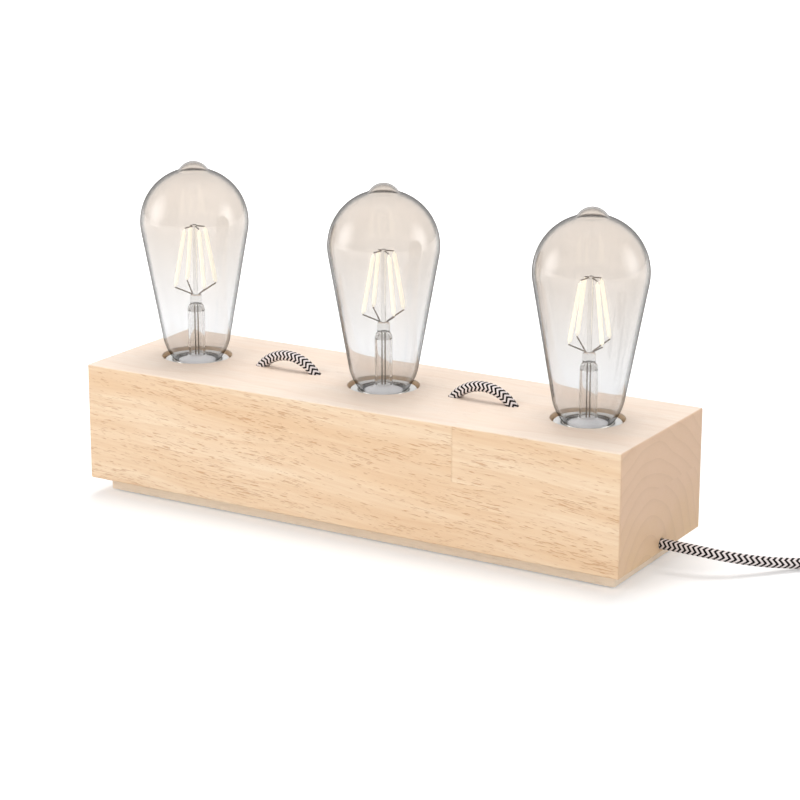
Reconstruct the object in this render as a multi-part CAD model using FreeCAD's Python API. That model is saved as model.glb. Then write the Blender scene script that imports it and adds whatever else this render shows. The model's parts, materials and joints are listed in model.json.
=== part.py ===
import FreeCAD, Part

# A table lamp in the shape of a wooden block: three bare bulbs stand in holders sunk in a
# row in its top, the braided cord shows as a small arch between them, and the mains cord
# leaves low through the right end. Millimetres, +Z up, +X to the right along the block,
# front at -Y. The origin lies on the floor under the middle of the base.

import math
import os

from FreeCAD import Vector

os.makedirs("parts", exist_ok=True)

UP = Vector(0, 0, 1)
ALONG = Vector(1, 0, 0)
BACK = Vector(0, 1, 0)

# ---------------------------------------------------------------- driving dimensions

# Block and base
block_length = 350.0
block_width = 103.0
block_height = 70.0
block_edge = 1.0            # the eased edge all round the block
base_height = 9.0
base_inset_end = 7.5        # how far the base stands back under the block's ends
base_inset_side = 11.0      # and under its long sides
base_edge = 0.6
pad_height = 1.0
pad_diameter = 14.0
pad_from_end = 16.0         # pad centre from the base's end
pad_from_side = 12.0        # pad centre from the base's long side

# Hollow routed into the block from below, for the wiring. The holders stand on brackets
# across its roof, so their height decides how far their rims lie below the block's top.
hollow_depth = 16.0
hollow_width = 58.0
hollow_end_wall = 12.0      # wood left between the hollow and each end of the block
hollow_corner = 8.0

# The row of sockets
socket_names = ["left", "middle", "right"]
socket_margin_left = 42.9   # outer sockets' axes from the block's ends
socket_margin_right = 45.7
bore_diameter = 42.0

# Lamp holder
holder_diameter = 39.0
holder_height = 52.0        # from its foot to its rim, 2 mm less than the wood is thick
rim_round = 1.2
holder_waist = 37.0         # diameter of the lower part, where the terminals are
waist_height = 19.0         # height of that lower part
mouth_depth = 6.0           # plain collar above the threaded shell
cup_depth = 32.0            # from the rim down to the cup's floor
pocket_width = 11.0
pocket_roof = 3.0           # between a pocket and the cup's floor
pocket_depth = 9.0
mouth_gap = 0.4             # between the bulb's collar and the holder's mouth

# Threaded shell and centre contact of the holder
shell_wall = 0.5
shell_height = 24.0
shell_gap = 0.08            # running clearance round the bulb's cap
seat_gap = 0.05             # clearance of pieces seated in each other
tag_width = 5.0
tag_thickness = 0.6
tongue_gap = 0.35           # below the bulb's centre contact
terminal_width = 10.0
terminal_depth = 6.0
terminal_height = 9.0
terminal_drop = 2.0         # below the pocket's roof
terminal_out = 13.0         # terminal centre from the socket's axis
terminal_shift = 2.0        # and to the side, where its wires come up
wire_hole = 2.3
wire_places = {"near": 2.5, "far": 5.2}

# Bulb: a sphere on a slender cone, drawn in to the neck, with a pip on top
bulb_diameter = 64.0
bulb_centre = 82.0          # the sphere's centre above the holder's rim
bulb_taper = 10.4           # half angle of the cone, degrees
shoulder_height = 14.0      # where the cone turns in to the neck
neck_at_rim = 27.6          # glass diameter at the holder's rim
neck_depth = 7.0            # how far the glass goes down in the cap
pip_top = 119.5             # above the rim
pip_radius = 7.0
pip_blend = 6.0
glass_wall = 1.0

# Bulb cap and what closes it below
cap_diameter = 26.4
cap_wall = 0.35
collar_diameter = 28.4
collar_height = 2.4
collar_cone = 1.4
cap_length = 23.5           # from the rim down to the cap's curled-in foot
cap_foot_cone = 2.6
cap_foot_diameter = 21.0
insulator_length = 3.2
insulator_foot = 14.0
eyelet_diameter = 10.4
eyelet_height = 1.2
eyelet_post = 6.0
eyelet_post_length = 3.5
driver_length = 13.0

# Inside the glass
stem_tube = 10.0
stem_flare_height = 9.0
stem_collar = 1.0
stem_shoulder = 34.5
press_height = 7.0
press_width = 7.0
press_thickness = 3.4
press_turn = 31.0           # direction of the press's wide side in plan, degrees
rod_diameter = 2.6
rod_top = 81.5
filament_count = 4
filament_diameter = 2.0
filament_top = 79.5
filament_foot = 45.5
filament_top_radius = 6.4
filament_foot_radius = 13.0
filament_turn = 58.0        # direction of the first filament in plan, degrees
support_wire = 0.7
lead_wire = 0.8
lead_reach = 0.9            # of the leads inside the stem, from its axis

# Screwing the bulb in and out
thread_pitch = 3.63
unscrew_turns = 4

# Cord, braided over its sheath
cord_diameter = 6.0
cord_hole_gap = 0.3
cord_exit_y = 1.2
cord_exit_height = 15.0     # the cord's axis above the floor at the block's end
cord_end_room = 4.0         # how far its end passes the clamp inside
core_diameter = 2.0
core_spread = 1.3           # each core's axis from the cord's axis
core_bend = 2.5             # bend radius of a core's axis
core_drop = 0.5             # the cores run this far below the mains cord's axis
core_turn_off = 8.0         # from the mains cord's end to where its cores spread

# The arches of cord between the sockets
loop_span = 36.8            # between the feet at the block's top, centre to centre
loop_rise = 8.3             # of the cord's axis above the block's top
loop_entry_radius = 15.0
loop_hang = 1.5             # how far the legs hang out of the hollow's roof

# Fixings
wood_screw_shank = 3.5
wood_screw_head = 7.0
wood_screw_head_height = 2.0
bracket_length = 56.8
bracket_width = 15.0
bracket_thickness = 1.5
bracket_hole = 4.4
bracket_screw_reach = 25.0  # bracket screw from the socket's axis
bracket_screw_length = 16.0
holder_bolt = 4.0
holder_bolt_reach = 11.5
holder_bolt_length = 13.5
terminal_screw = 3.0
terminal_screw_head = 5.0
base_screw_length = 20.0
base_screw_from_end = 9.0
base_screw_from_side = 7.0
base_screw_cone = 2.2
clamp_length = 10.0
clamp_width = 26.0
clamp_from_end = 14.0       # clamp's outer face from the block's end
clamp_wall = 1.6
clamp_saddle = 10.0         # width of the part under the cord
clamp_corner = 2.0
clamp_seat_rise = 1.0       # underside of the ears above the cord's axis
clamp_screw_reach = 9.0
clamp_screw_length = 22.0
pilot_room = 1.0            # how far a pilot hole goes past its screw's tip
fixing_gap = 0.05

# Switch in the cord
switch_length = 64.0
switch_width = 27.0
switch_end_width = 15.0
switch_height = 16.0
switch_cord_height = 7.0    # the cord's axis above the floor inside the switch
switch_wall = 1.8
switch_round = 2.4
switch_corner = 3.0
switch_grip = 9.0           # how far the cord goes in at each end
rocker_length = 18.0
rocker_width = 11.0
rocker_gap = 0.4
rocker_proud = 2.2
rocker_angle = 14.0         # travel from off to on, degrees
rocker_dip = 1.6            # how far its middle lies below its ends
rocker_skirt = 3.0          # below its pivot
rocker_end_gap = 0.8        # more than at its sides, because its ends swing
rocker_sink = 1.0           # its pivot below the inside of the housing's top
rocker_pin = 2.4
rocker_foot = 3.2
rocker_foot_length = 1.2
bearing_depth = 0.9         # of the pin's holes in the collar round the rocker
bearing_end_gap = 0.2
well_wall = 1.2             # of that collar
well_depth = 2.6            # below the pivot
switch_post = 5.0
switch_screw = 2.2
switch_screw_clearance = 0.5
switch_screw_head = 4.6
switch_screw_head_height = 1.6
switch_screw_slot = 0.6
switch_screw_sink = 0.4     # its head's face inside the housing's underside
switch_screw_length = 9.0
switch_screw_reach = 19.0
switch_screw_side = 6.6
contact_reach = 7.0         # from the switch's middle to each contact
contact_length = 7.0
contact_width = 5.0
contact_height = 3.2

# Plug with two round pins
plug_width = 35.3
plug_thickness = 13.7
plug_length = 36.0
plug_straight = 15.0
plug_neck = 14.0
plug_round = 3.0
relief_length = 26.0
relief_start = 11.0
relief_end = 8.0
relief_rings = 5
relief_root = 3.0           # how far it goes into the plug's body
ring_groove = 1.6
ring_depth = 0.8
pin_diameter = 4.0
pin_sleeve = 3.8
pin_sleeve_length = 10.0
pin_length = 19.0
pin_spacing = 18.2
pin_root = 8.0

# Coil of the put-away cord: two layers, spiralling in and out again
coil_radius = 46.0          # the outer turn's axis
coil_pitch = 6.5            # turn to turn, beside and on each other
coil_turns = 6.25
coil_end_run = 6.0          # straight ends, one cord diameter

# ---------------------------------------------------------------- levels and places

base_bottom = pad_height
block_bottom = base_bottom + base_height
block_top = block_bottom + block_height
hollow_roof = block_bottom + hollow_depth
rim = hollow_roof + holder_height
hollow_length = block_length - 2 * hollow_end_wall
block_end = block_length / 2
base_length = block_length - 2 * base_inset_end
base_width = block_width - 2 * base_inset_side

row_start = -block_end + socket_margin_left
socket_pitch = (block_end - socket_margin_right - row_start) / 2
socket_x = {name: row_start + i * socket_pitch for i, name in enumerate(socket_names)}
loop_foot = hollow_roof - loop_hang
core_deck = cord_exit_height - core_drop
loop_x = {
    "left": (socket_x["left"] + socket_x["middle"]) / 2,
    "right": (socket_x["middle"] + socket_x["right"]) / 2,
}
cap_foot = rim - cap_length
eyelet_foot = cap_foot - insulator_length - eyelet_height
cup_bottom = rim - cup_depth
pocket_top = cup_bottom - pocket_roof

# The mains cord's free route from the block's end to the switch, down to the floor and
# out to the right
on_floor = cord_diameter / 2
lead_points = [
    (block_end, cord_exit_y, cord_exit_height),
    (block_end + 17, cord_exit_y, cord_exit_height),
    (block_end + 34, 9.5, 11.2),
    (block_end + 51, 26.0, 6.0),
    (block_end + 68, 43.5, on_floor),
    (block_end + 87, 55.0, on_floor),
    (block_end + 106, 59.5, 3.6),
    (block_end + 125, 59.5, switch_cord_height),
    (block_end + 139, 59.5, switch_cord_height),
]
switch_start = Vector(*lead_points[-1])
switch_end = switch_start + ALONG * switch_length

# From the switch down to the coil's outer turn
link_points = [
    tuple(switch_end),
    (switch_end.x + 13, switch_end.y, switch_cord_height),
    (switch_end.x + 27, switch_end.y, on_floor),
    (switch_end.x + 40, switch_end.y, on_floor),
]
coil_start = Vector(*link_points[-1])
coil_centre = coil_start + ALONG * coil_end_run - BACK * coil_radius
coil_end = coil_centre + ALONG * coil_radius + UP * coil_pitch - BACK * coil_end_run

# From the coil's top layer down and round to the plug
plug_axis = plug_thickness / 2
tail_points = [
    tuple(coil_end),
    (coil_end.x, coil_end.y - 13.5, coil_end.z),
    (coil_end.x - 4.5, coil_end.y - 32.5, 4.8),
    (coil_end.x - 17, coil_end.y - 47.5, on_floor),
    (coil_end.x - 37, coil_end.y - 55, on_floor),
    (coil_end.x - 60, coil_end.y - 55, plug_axis),
    (coil_end.x - 79, coil_end.y - 55, plug_axis),
]
plug_start = Vector(*tail_points[-1])

# ---------------------------------------------------------------- helpers


def box(x0, x1, y0, y1, z0, z1):
    """A block between two corners."""
    return Part.makeBox(x1 - x0, y1 - y0, z1 - z0, Vector(x0, y0, z0))


def rod(diameter, start, axis, length):
    """A round bar from a point along an axis."""
    return Part.makeCylinder(diameter / 2, length, start, axis)


def bar_between(diameter, a, b):
    """A round bar from point a to point b."""
    return Part.makeCylinder(diameter / 2, (b - a).Length, a, b - a)


def cone_bar(d0, d1, start, axis, length):
    """A tapered round bar."""
    return Part.makeCone(d0 / 2, d1 / 2, length, start, axis)


def outline(steps):
    """Edges through (radius, height) points; a step of three numbers and a point,
    ("arc", (r, z) on the way, (r, z) at its end), is an arc."""
    edges = []
    here = Vector(steps[0][0], 0, steps[0][1])
    for step in steps[1:]:
        if step[0] == "arc":
            way = Vector(step[1][0], 0, step[1][1])
            there = Vector(step[2][0], 0, step[2][1])
            edges.append(Part.Arc(here, way, there).toShape())
        else:
            there = Vector(step[0], 0, step[1])
            edges.append(Part.makeLine(here, there))
        here = there
    return edges


def turned(steps, x=0.0, y=0.0):
    """A solid of revolution about the vertical line through (x, y)."""
    edges = outline(steps + [steps[0]])
    face = Part.Face(Part.Wire(edges))
    solid = face.revolve(Vector(0, 0, 0), UP, 360)
    return solid.translated(Vector(x, y, 0))


def rounded_plate(length, width, corner, z0, height):
    """An upright-edged plate centred on the origin, with round corners in plan."""
    plate = box(-length / 2, length / 2, -width / 2, width / 2, z0, z0 + height)
    upright = [e for e in plate.Edges if abs(e.tangentAt(e.FirstParameter).z) > 0.9]
    return plate.makeFillet(corner, upright)


def lies_at(edge, z):
    """Whether an edge lies level at the height z."""
    return edge.BoundBox.ZMax < z + 0.01 and edge.BoundBox.ZMin > z - 0.01


def union(shapes):
    """One solid from several that touch or overlap."""
    return shapes[0].multiFuse(shapes[1:]).removeSplitter()


def group(shapes):
    """Separate solids kept in one node."""
    return Part.makeCompound(shapes)


def corner_arc(a, corner, b, distance):
    """The arc that rounds a corner, touching both runs at a distance from it."""
    to_a = (a - corner).normalize()
    to_b = (b - corner).normalize()
    start = corner + to_a * distance
    end = corner + to_b * distance
    return tangent_arc(start, corner, end)


def tangent_arc(start, corner, end):
    """The arc from start to end whose tangents meet at corner, equally far from both."""
    middle = (start + end) * 0.5
    half_chord = (end - start).Length / 2
    to_corner = corner - middle
    base_angle = math.atan2(to_corner.Length, half_chord)
    rise = half_chord * math.tan(base_angle / 2)
    return Part.Arc(start, middle + to_corner.normalize() * rise, end).toShape()


def route(points, name, longest_arc=0.45):
    """A wire of straight runs joined by tangent arcs, as large as the runs allow.
    Prints each arc's radius in cord diameters."""
    points = [Vector(*p) for p in points]
    edges = []
    radii = []
    here = points[0]
    for a, corner, b in zip(points, points[1:], points[2:]):
        run_in = corner - a
        run_out = b - corner
        distance = longest_arc * min(run_in.Length, run_out.Length)
        arc = corner_arc(a, corner, b, distance)
        start = arc.valueAt(arc.FirstParameter)
        edges.append(Part.makeLine(here, start))
        edges.append(arc)
        radii.append(distance / math.tan(run_in.getAngle(run_out) / 2))
        here = arc.valueAt(arc.LastParameter)
    edges.append(Part.makeLine(here, points[-1]))
    print(name, "radii in mm:", [round(r, 1) for r in radii])
    return Part.Wire(edges)


def tube(path, diameter, name=""):
    """A round tube along a wire; prints its length and how its volume fits it."""
    first = path.Edges[0]
    start = first.valueAt(first.FirstParameter)
    heading = first.tangentAt(first.FirstParameter)
    section = Part.Wire(Part.makeCircle(diameter / 2, start, heading))
    sweep = Part.BRepOffsetAPI.MakePipeShell(path)
    sweep.add(section)
    sweep.build()
    sweep.makeSolid()
    solid = sweep.shape()
    if name:
        ideal = math.pi * diameter**2 / 4 * path.Length
        print(name, "length %.1f mm, volume over section times length %.4f" % (
            path.Length, solid.Volume / ideal))
    return solid


def save(name, shape):
    """Writes one node's STEP file."""
    shape.exportStep("parts/" + name + ".step")


# ---------------------------------------------------------------- block and base


def loop_path(name):
    """One arch of cord: up out of the hollow, over, and down again."""
    x = loop_x[name]
    half = loop_span / 2
    radius = (half**2 + loop_rise**2) / (2 * loop_rise)
    lean = math.asin(half / radius)
    turn = math.pi / 2 - lean
    leg = half + loop_entry_radius * (1 - math.cos(turn))
    bend = block_top - loop_entry_radius * math.sin(turn)
    bend_corner = bend + loop_entry_radius * math.tan(turn / 2)
    top = Vector(x, 0, block_top + loop_rise)
    edges = []
    for side in (-1, 1):
        foot = Vector(x + side * leg, 0, loop_foot)
        low = Vector(x + side * leg, 0, bend)
        corner = Vector(x + side * leg, 0, bend_corner)
        high = Vector(x + side * half, 0, block_top)
        edges.append([Part.makeLine(foot, low), tangent_arc(low, corner, high)])
    ends = [Vector(x - half, 0, block_top), Vector(x + half, 0, block_top)]
    arch = Part.Arc(ends[0], top, ends[1]).toShape()
    right = [tangent_arc(high, corner, low), Part.makeLine(low, foot)]
    return Part.Wire(edges[0] + [arch] + right)


def loop_leg_reach():
    """From an arch's middle to the axis of its upright legs."""
    half = loop_span / 2
    radius = (half**2 + loop_rise**2) / (2 * loop_rise)
    turn = math.pi / 2 - math.asin(half / radius)
    return half + loop_entry_radius * (1 - math.cos(turn))


def base_screw_places():
    """Two screws near each end of the base, and one in the middle of each side."""
    x = base_length / 2 - base_screw_from_end
    y = base_width / 2 - base_screw_from_side
    return [(-x, -y), (-x, y), (0, -y), (0, y), (x, -y), (x, y)]


def clamp_x():
    """The cord clamp's span along X."""
    outer = block_end - clamp_from_end
    return outer - clamp_length, outer


def wood_block():
    """The block with its eased edges, the hollow, the three bores, the holes that the
    cord goes through, and pilot holes for the screws."""
    body = box(-block_end, block_end, -block_width / 2, block_width / 2,
               block_bottom, block_top)
    body = body.makeFillet(block_edge, body.Edges)
    cuts = [rounded_plate(hollow_length, hollow_width, hollow_corner,
                          block_bottom - 1, hollow_depth + 1)]
    for x in socket_x.values():
        cuts.append(rod(bore_diameter, Vector(x, 0, hollow_roof - 1), UP, block_height))
        for side in (-1, 1):
            start = Vector(x, side * bracket_screw_reach, hollow_roof - 1)
            reach = 1 + bracket_screw_length - bracket_thickness + pilot_room
            cuts.append(rod(wood_screw_shank + 2 * fixing_gap, start, UP, reach))
    for name in loop_x:
        cuts.append(tube(loop_path(name), cord_diameter + 2 * cord_hole_gap))
    start = Vector(hollow_length / 2 - 1, cord_exit_y, cord_exit_height)
    cuts.append(rod(cord_diameter + 2 * cord_hole_gap, start, ALONG, hollow_end_wall + 2))
    for x, y in base_screw_places():
        start = Vector(x, y, block_bottom - 1)
        reach = 1 + base_screw_length - base_height + pilot_room
        cuts.append(rod(wood_screw_shank + 2 * fixing_gap, start, UP, reach))
    for side in (-1, 1):
        middle = sum(clamp_x()) / 2
        start = Vector(middle, cord_exit_y + side * clamp_screw_reach, hollow_roof - 1)
        reach = 1 + clamp_seat() + clamp_screw_length - hollow_roof + pilot_room
        cuts.append(rod(wood_screw_shank + 2 * fixing_gap, start, UP, reach))
    return body.cut(cuts)


def base_plate():
    """The low base under the block, with countersunk holes for its screws."""
    plate = box(-base_length / 2, base_length / 2, -base_width / 2, base_width / 2,
                base_bottom, block_bottom)
    lower = [e for e in plate.Edges if e.BoundBox.ZMax < block_bottom - 1]
    plate = plate.makeFillet(base_edge, lower)
    cuts = []
    for x, y in base_screw_places():
        start = Vector(x, y, base_bottom - 1)
        cuts.append(rod(wood_screw_shank + 2 * fixing_gap, start, UP, base_height + 2))
        cuts.append(cone_bar(wood_screw_head + 2 * fixing_gap,
                             wood_screw_shank + 2 * fixing_gap,
                             Vector(x, y, base_bottom), UP, base_screw_cone))
    return plate.cut(cuts)


def base_screws():
    """Six countersunk wood screws with cross recesses, from below."""
    screws = []
    for x, y in base_screw_places():
        head = cone_bar(wood_screw_head, wood_screw_shank, Vector(x, y, base_bottom),
                        UP, base_screw_cone)
        screws.append(wood_screw(head, x, y, base_bottom, base_screw_length,
                                 base_screw_cone))
    return group(screws)


def wood_screw(head, x, y, z, length, head_height, recess=1.2):
    """A wood screw pointing up from its head, with a cross recess in the head."""
    tip = 3.0
    shank = rod(wood_screw_shank, Vector(x, y, z + head_height), UP,
                length - head_height - tip)
    point = cone_bar(wood_screw_shank, 0.6, Vector(x, y, z + length - tip), UP, tip)
    arm = wood_screw_head * 0.28
    slot = wood_screw_head * 0.07
    cross = [box(x - arm, x + arm, y - slot, y + slot, z - 1, z + recess),
             box(x - slot, x + slot, y - arm, y + arm, z - 1, z + recess)]
    return union([head, shank, point]).cut(cross)


def foot_pads():
    """Four thin round pads under the base's corners."""
    x = base_length / 2 - pad_from_end
    y = base_width / 2 - pad_from_side
    pads = []
    for px in (-x, x):
        for py in (-y, y):
            pads.append(rod(pad_diameter, Vector(px, py, 0), UP, pad_height))
    return group(pads)


# ---------------------------------------------------------------- lamp holders
# A holder and its contacts are drawn round the origin's axis, with the live terminal on
# the +X side. The neutral one is the same, turned half round.


def placed(shape, x, half_turn=False):
    """A copy of a shape at a socket, turned half round if asked."""
    copy = shape.copy()
    if half_turn:
        copy.rotate(Vector(0, 0, 0), UP, 180)
    return copy.translated(Vector(x, 0, 0))


def holder_body():
    """The white holder: a cup for the threaded shell over a solid foot, which has an
    open pocket on each side for a terminal and two blind holes for the bolts."""
    outer = holder_diameter / 2
    waist = holder_waist / 2
    step = hollow_roof + waist_height
    mouth = collar_diameter / 2 + mouth_gap
    cup = cap_diameter / 2 + shell_gap + shell_wall + seat_gap
    ledge = rim - mouth_depth
    round_dip = rim_round * (1 - math.sqrt(0.5))
    body = turned([
        (0, hollow_roof),
        (waist, hollow_roof),
        (waist, step),
        (outer, step + outer - waist),
        (outer, rim - rim_round),
        ("arc", (outer - round_dip, rim - round_dip), (outer - rim_round, rim)),
        (mouth + rim_round, rim),
        ("arc", (mouth + round_dip, rim - round_dip), (mouth, rim - rim_round)),
        (mouth, ledge),
        (cup, ledge - mouth + cup),
        (cup, cup_bottom),
        (0, cup_bottom),
    ])
    pocket = box(waist - pocket_depth, waist + 2, terminal_shift - pocket_width / 2,
                 terminal_shift + pocket_width / 2, hollow_roof - 1, pocket_top)
    half = tag_width / 2 + 0.2
    slot = box(tag_reach() - tag_thickness / 2 - 0.2, tag_reach() + tag_thickness / 2 + 0.2,
               -half, half, pocket_top - 1, cup_bottom + 1)
    cuts = [placed(pocket, 0), placed(pocket, 0, True),
            placed(slot, 0), placed(slot, 0, True)]
    for side in (-1, 1):
        cuts.append(rod(holder_bolt + 2 * fixing_gap,
                        Vector(0, side * holder_bolt_reach, hollow_roof - 1), UP,
                        1 + holder_bolt_length - bracket_thickness + pilot_room))
    return body.cut(cuts)


def tag_reach():
    """From the socket's axis to the middle of each contact's tag."""
    return terminal_out - terminal_depth / 2 + tag_thickness / 2 + 1.0


def terminal_foot():
    """The terminals' underside."""
    return pocket_top - terminal_drop - terminal_height


def terminal():
    """A contact's brass terminal: a block with two wire holes and a screw hole."""
    z = terminal_foot()
    x0 = terminal_out - terminal_depth / 2
    x1 = terminal_out + terminal_depth / 2
    block = box(x0, x1, terminal_shift - terminal_width / 2,
                terminal_shift + terminal_width / 2, z, z + terminal_height)
    cuts = [rod(terminal_screw + 2 * fixing_gap,
                Vector(terminal_out, terminal_shift, z + terminal_height - 3), ALONG,
                terminal_depth)]
    for y in wire_places.values():
        cuts.append(rod(wire_hole, Vector(terminal_out, y, z - 1), UP, 5.0))
    return block.cut(cuts)


def holder_shell():
    """The metal shell that the bulb screws into, with the tag down to its terminal."""
    inner = cap_diameter / 2 + shell_gap
    outer = inner + shell_wall
    lip = 0.8
    sleeve = turned([
        (inner, cup_bottom),
        (outer, cup_bottom),
        (outer, cup_bottom + shell_height - lip),
        (outer - shell_wall / 2, cup_bottom + shell_height),
        (inner, cup_bottom + shell_height),
    ])
    near = tag_reach() - tag_thickness / 2
    far = tag_reach() + tag_thickness / 2
    half = tag_width / 2
    tag = box(near, far, -half, half, pocket_top - terminal_drop - 0.5,
              cup_bottom + tag_thickness)
    foot = box(near, inner + shell_wall / 2, -half, half, cup_bottom,
               cup_bottom + tag_thickness)
    return union([sleeve, foot, tag, terminal()])


def holder_contact():
    """The sprung tongue under the bulb's centre contact, bent from strip, with the tag
    down to its terminal."""
    near = tag_reach() - tag_thickness / 2
    far = tag_reach() + tag_thickness / 2
    foot = pocket_top - terminal_drop - 0.5
    top = eyelet_foot - tongue_gap
    low = cup_bottom
    thick = tag_thickness
    side_view = [
        (far, foot),
        (far, low + thick),
        (4.0, low + thick),
        (1.5, top),
        (-4.5, top),
        (-6.0, top - 1.6),
        (-5.4, top - 2.1),
        (-4.2, top - thick),
        (1.1, top - thick),
        (3.6, low),
        (near, low),
        (near, foot),
    ]
    points = [Vector(px, -tag_width / 2, pz) for px, pz in side_view]
    face = Part.Face(Part.makePolygon(points + [points[0]]))
    strip = face.extrude(BACK * tag_width)
    return union([strip, terminal()])


def holder_brackets():
    """A flat steel strip under each holder, from the front to the back of its bore."""
    z = hollow_roof - bracket_thickness
    strip = rounded_plate(bracket_width, bracket_length, 3.0, z, bracket_thickness)
    holes = []
    for reach in (bracket_screw_reach, holder_bolt_reach):
        for side in (-1, 1):
            holes.append(rod(bracket_hole, Vector(0, side * reach, z - 1), UP,
                             bracket_thickness + 2))
    strip = strip.cut(holes)
    return group([placed(strip, x) for x in socket_x.values()])


def pan_head(diameter, height, x, y, z):
    """A low domed head hanging down from height z."""
    r = diameter / 2
    return turned([
        (0, z),
        (r, z),
        (r, z - height * 0.4),
        ("arc", (r * 0.8, z - height * 0.85), (r * 0.45, z - height)),
        (0, z - height),
    ], x, y)


def bracket_screws():
    """Two wood screws through each bracket, up into the hollow's roof."""
    screws = []
    seat = hollow_roof - bracket_thickness
    for x in socket_x.values():
        for side in (-1, 1):
            y = side * bracket_screw_reach
            head = pan_head(wood_screw_head, wood_screw_head_height, x, y, seat)
            screws.append(wood_screw(head, x, y, seat - wood_screw_head_height,
                                     bracket_screw_length + wood_screw_head_height,
                                     wood_screw_head_height))
    return group(screws)


def holder_bolts():
    """Two machine screws through each bracket, up into the holder."""
    bolts = []
    seat = hollow_roof - bracket_thickness
    head_diameter = holder_bolt * 1.75
    head_height = holder_bolt * 0.55
    slot = 0.5
    for x in socket_x.values():
        for side in (-1, 1):
            y = side * holder_bolt_reach
            head = pan_head(head_diameter, head_height, x, y, seat)
            shank = rod(holder_bolt, Vector(x, y, seat), UP, holder_bolt_length)
            cut = box(x - head_diameter, x + head_diameter, y - slot, y + slot,
                      seat - head_height - 1, seat - head_height + 1)
            bolts.append(union([head, shank]).cut(cut))
    return group(bolts)


def terminal_screws():
    """One slotted screw in each terminal, reached from the holder's side."""
    z = terminal_foot() + terminal_height - 3.0
    face = terminal_out + terminal_depth / 2
    head_height = 1.8
    slot = 0.4
    shank = rod(terminal_screw, Vector(terminal_out, terminal_shift, z), ALONG,
                terminal_depth / 2)
    head = rod(terminal_screw_head, Vector(face, terminal_shift, z), ALONG, head_height)
    outside = face + head_height
    cut = box(outside - 0.8, outside + 1, terminal_shift - terminal_screw_head,
              terminal_shift + terminal_screw_head, z - slot, z + slot)
    screw = union([head, shank]).cut(cut)
    return group([placed(screw, x, half_turn)
                  for x in socket_x.values() for half_turn in (False, True)])


# ---------------------------------------------------------------- bulbs


def bulb_curve(inset):
    """The glass outline from the neck's foot up to the pip, moved inwards by inset: a
    straight neck, an arc that turns out to the cone, the cone, the sphere, a blend and
    the pip. All its arcs are tangent to what they meet."""
    taper = math.radians(bulb_taper)
    big = bulb_diameter / 2
    centre = rim + bulb_centre
    shoulder = rim + shoulder_height
    cone_top_z = centre - big * math.sin(taper)
    cone_foot_r = big * math.cos(taper) - (cone_top_z - shoulder) * math.tan(taper)
    # shoulder arc, tangent to the cone and passing the rim at the neck's diameter
    drop = shoulder_height
    drawn_in = cone_foot_r - neck_at_rim / 2
    end_slope = 2 * math.atan2(drawn_in, drop) - taper
    turn_radius = drop / (math.sin(end_slope) - math.sin(taper))
    turn_r = cone_foot_r - turn_radius * math.cos(taper)
    turn_z = shoulder + turn_radius * math.sin(taper)
    # carried on below the rim to the neck's own diameter
    small = turn_radius - inset
    neck_r = neck_radius() - inset
    neck_slope = math.acos((neck_r - turn_r) / small)
    neck_z = turn_z - small * math.sin(neck_slope)
    middle_slope = (taper + neck_slope) / 2
    # pip: a small sphere, blended into the big one by a hollow arc
    tip_z = rim + pip_top - pip_radius
    far = big + pip_blend
    near = pip_radius + pip_blend
    gap = tip_z - centre
    blend_z = (far**2 - near**2 + gap**2) / (2 * gap)
    blend_r = math.sqrt(far**2 - blend_z**2)
    blend = pip_blend + inset
    body_angle = math.atan2(blend_z, blend_r)
    tip_angle = math.atan2(blend_z - gap, blend_r)
    blend_middle = (body_angle + tip_angle) / 2
    dome = big - inset
    tip = pip_radius - inset
    side_angle = (body_angle - taper) / 2
    return [
        (neck_r, rim - neck_depth),
        (neck_r, neck_z),
        ("arc",
         (turn_r + small * math.cos(middle_slope), turn_z - small * math.sin(middle_slope)),
         (turn_r + small * math.cos(taper), turn_z - small * math.sin(taper))),
        (dome * math.cos(taper), centre - dome * math.sin(taper)),
        ("arc",
         (dome * math.cos(side_angle), centre + dome * math.sin(side_angle)),
         (dome * math.cos(body_angle), centre + dome * math.sin(body_angle))),
        ("arc",
         (blend_r - blend * math.cos(blend_middle),
          centre + blend_z - blend * math.sin(blend_middle)),
         (tip * math.cos(tip_angle), tip_z + tip * math.sin(tip_angle))),
        ("arc",
         (tip * math.cos((tip_angle + math.pi / 2) / 2),
          tip_z + tip * math.sin((tip_angle + math.pi / 2) / 2)),
         (0, tip_z + tip)),
    ]


def neck_radius():
    """The glass neck's outside, close in the metal cap."""
    return cap_diameter / 2 - cap_wall - seat_gap


def bulb_glass(x):
    """The bulb's glass, an open shell with an even wall."""
    outside = bulb_curve(0)
    inside = bulb_curve(glass_wall)
    floor = (0, rim - neck_depth)
    shell = turned([floor] + outside, x)
    room = turned([floor] + inside, x)
    return shell.cut(room)


def bulb_cap(x):
    """The metal screw cap with its collar round the neck, curled in at the foot."""
    r = cap_diameter / 2
    collar = collar_diameter / 2
    foot = cap_foot_diameter / 2
    w = cap_wall
    skirt = rim - collar_height
    return turned([
        (collar, rim),
        (collar, skirt),
        (r, skirt - collar_cone),
        (r, cap_foot + cap_foot_cone),
        (foot, cap_foot),
        (foot - w, cap_foot),
        (foot - w, cap_foot + w),
        (r - w, cap_foot + cap_foot_cone + w),
        (r - w, skirt - collar_cone),
        (collar - w, skirt),
        (collar - w, rim),
    ], x)


def bulb_insulator(x):
    """The black glass insulator between the cap and the centre contact."""
    seat = cap_foot_diameter / 2 - cap_wall - seat_gap
    foot = insulator_foot / 2
    hole = eyelet_post / 2 + seat_gap
    low = cap_foot - insulator_length
    return turned([
        (hole, low),
        (foot, low),
        (seat, cap_foot - 0.6),
        (seat, cap_foot + 1.2),
        (hole, cap_foot + 1.2),
    ], x)


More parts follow.
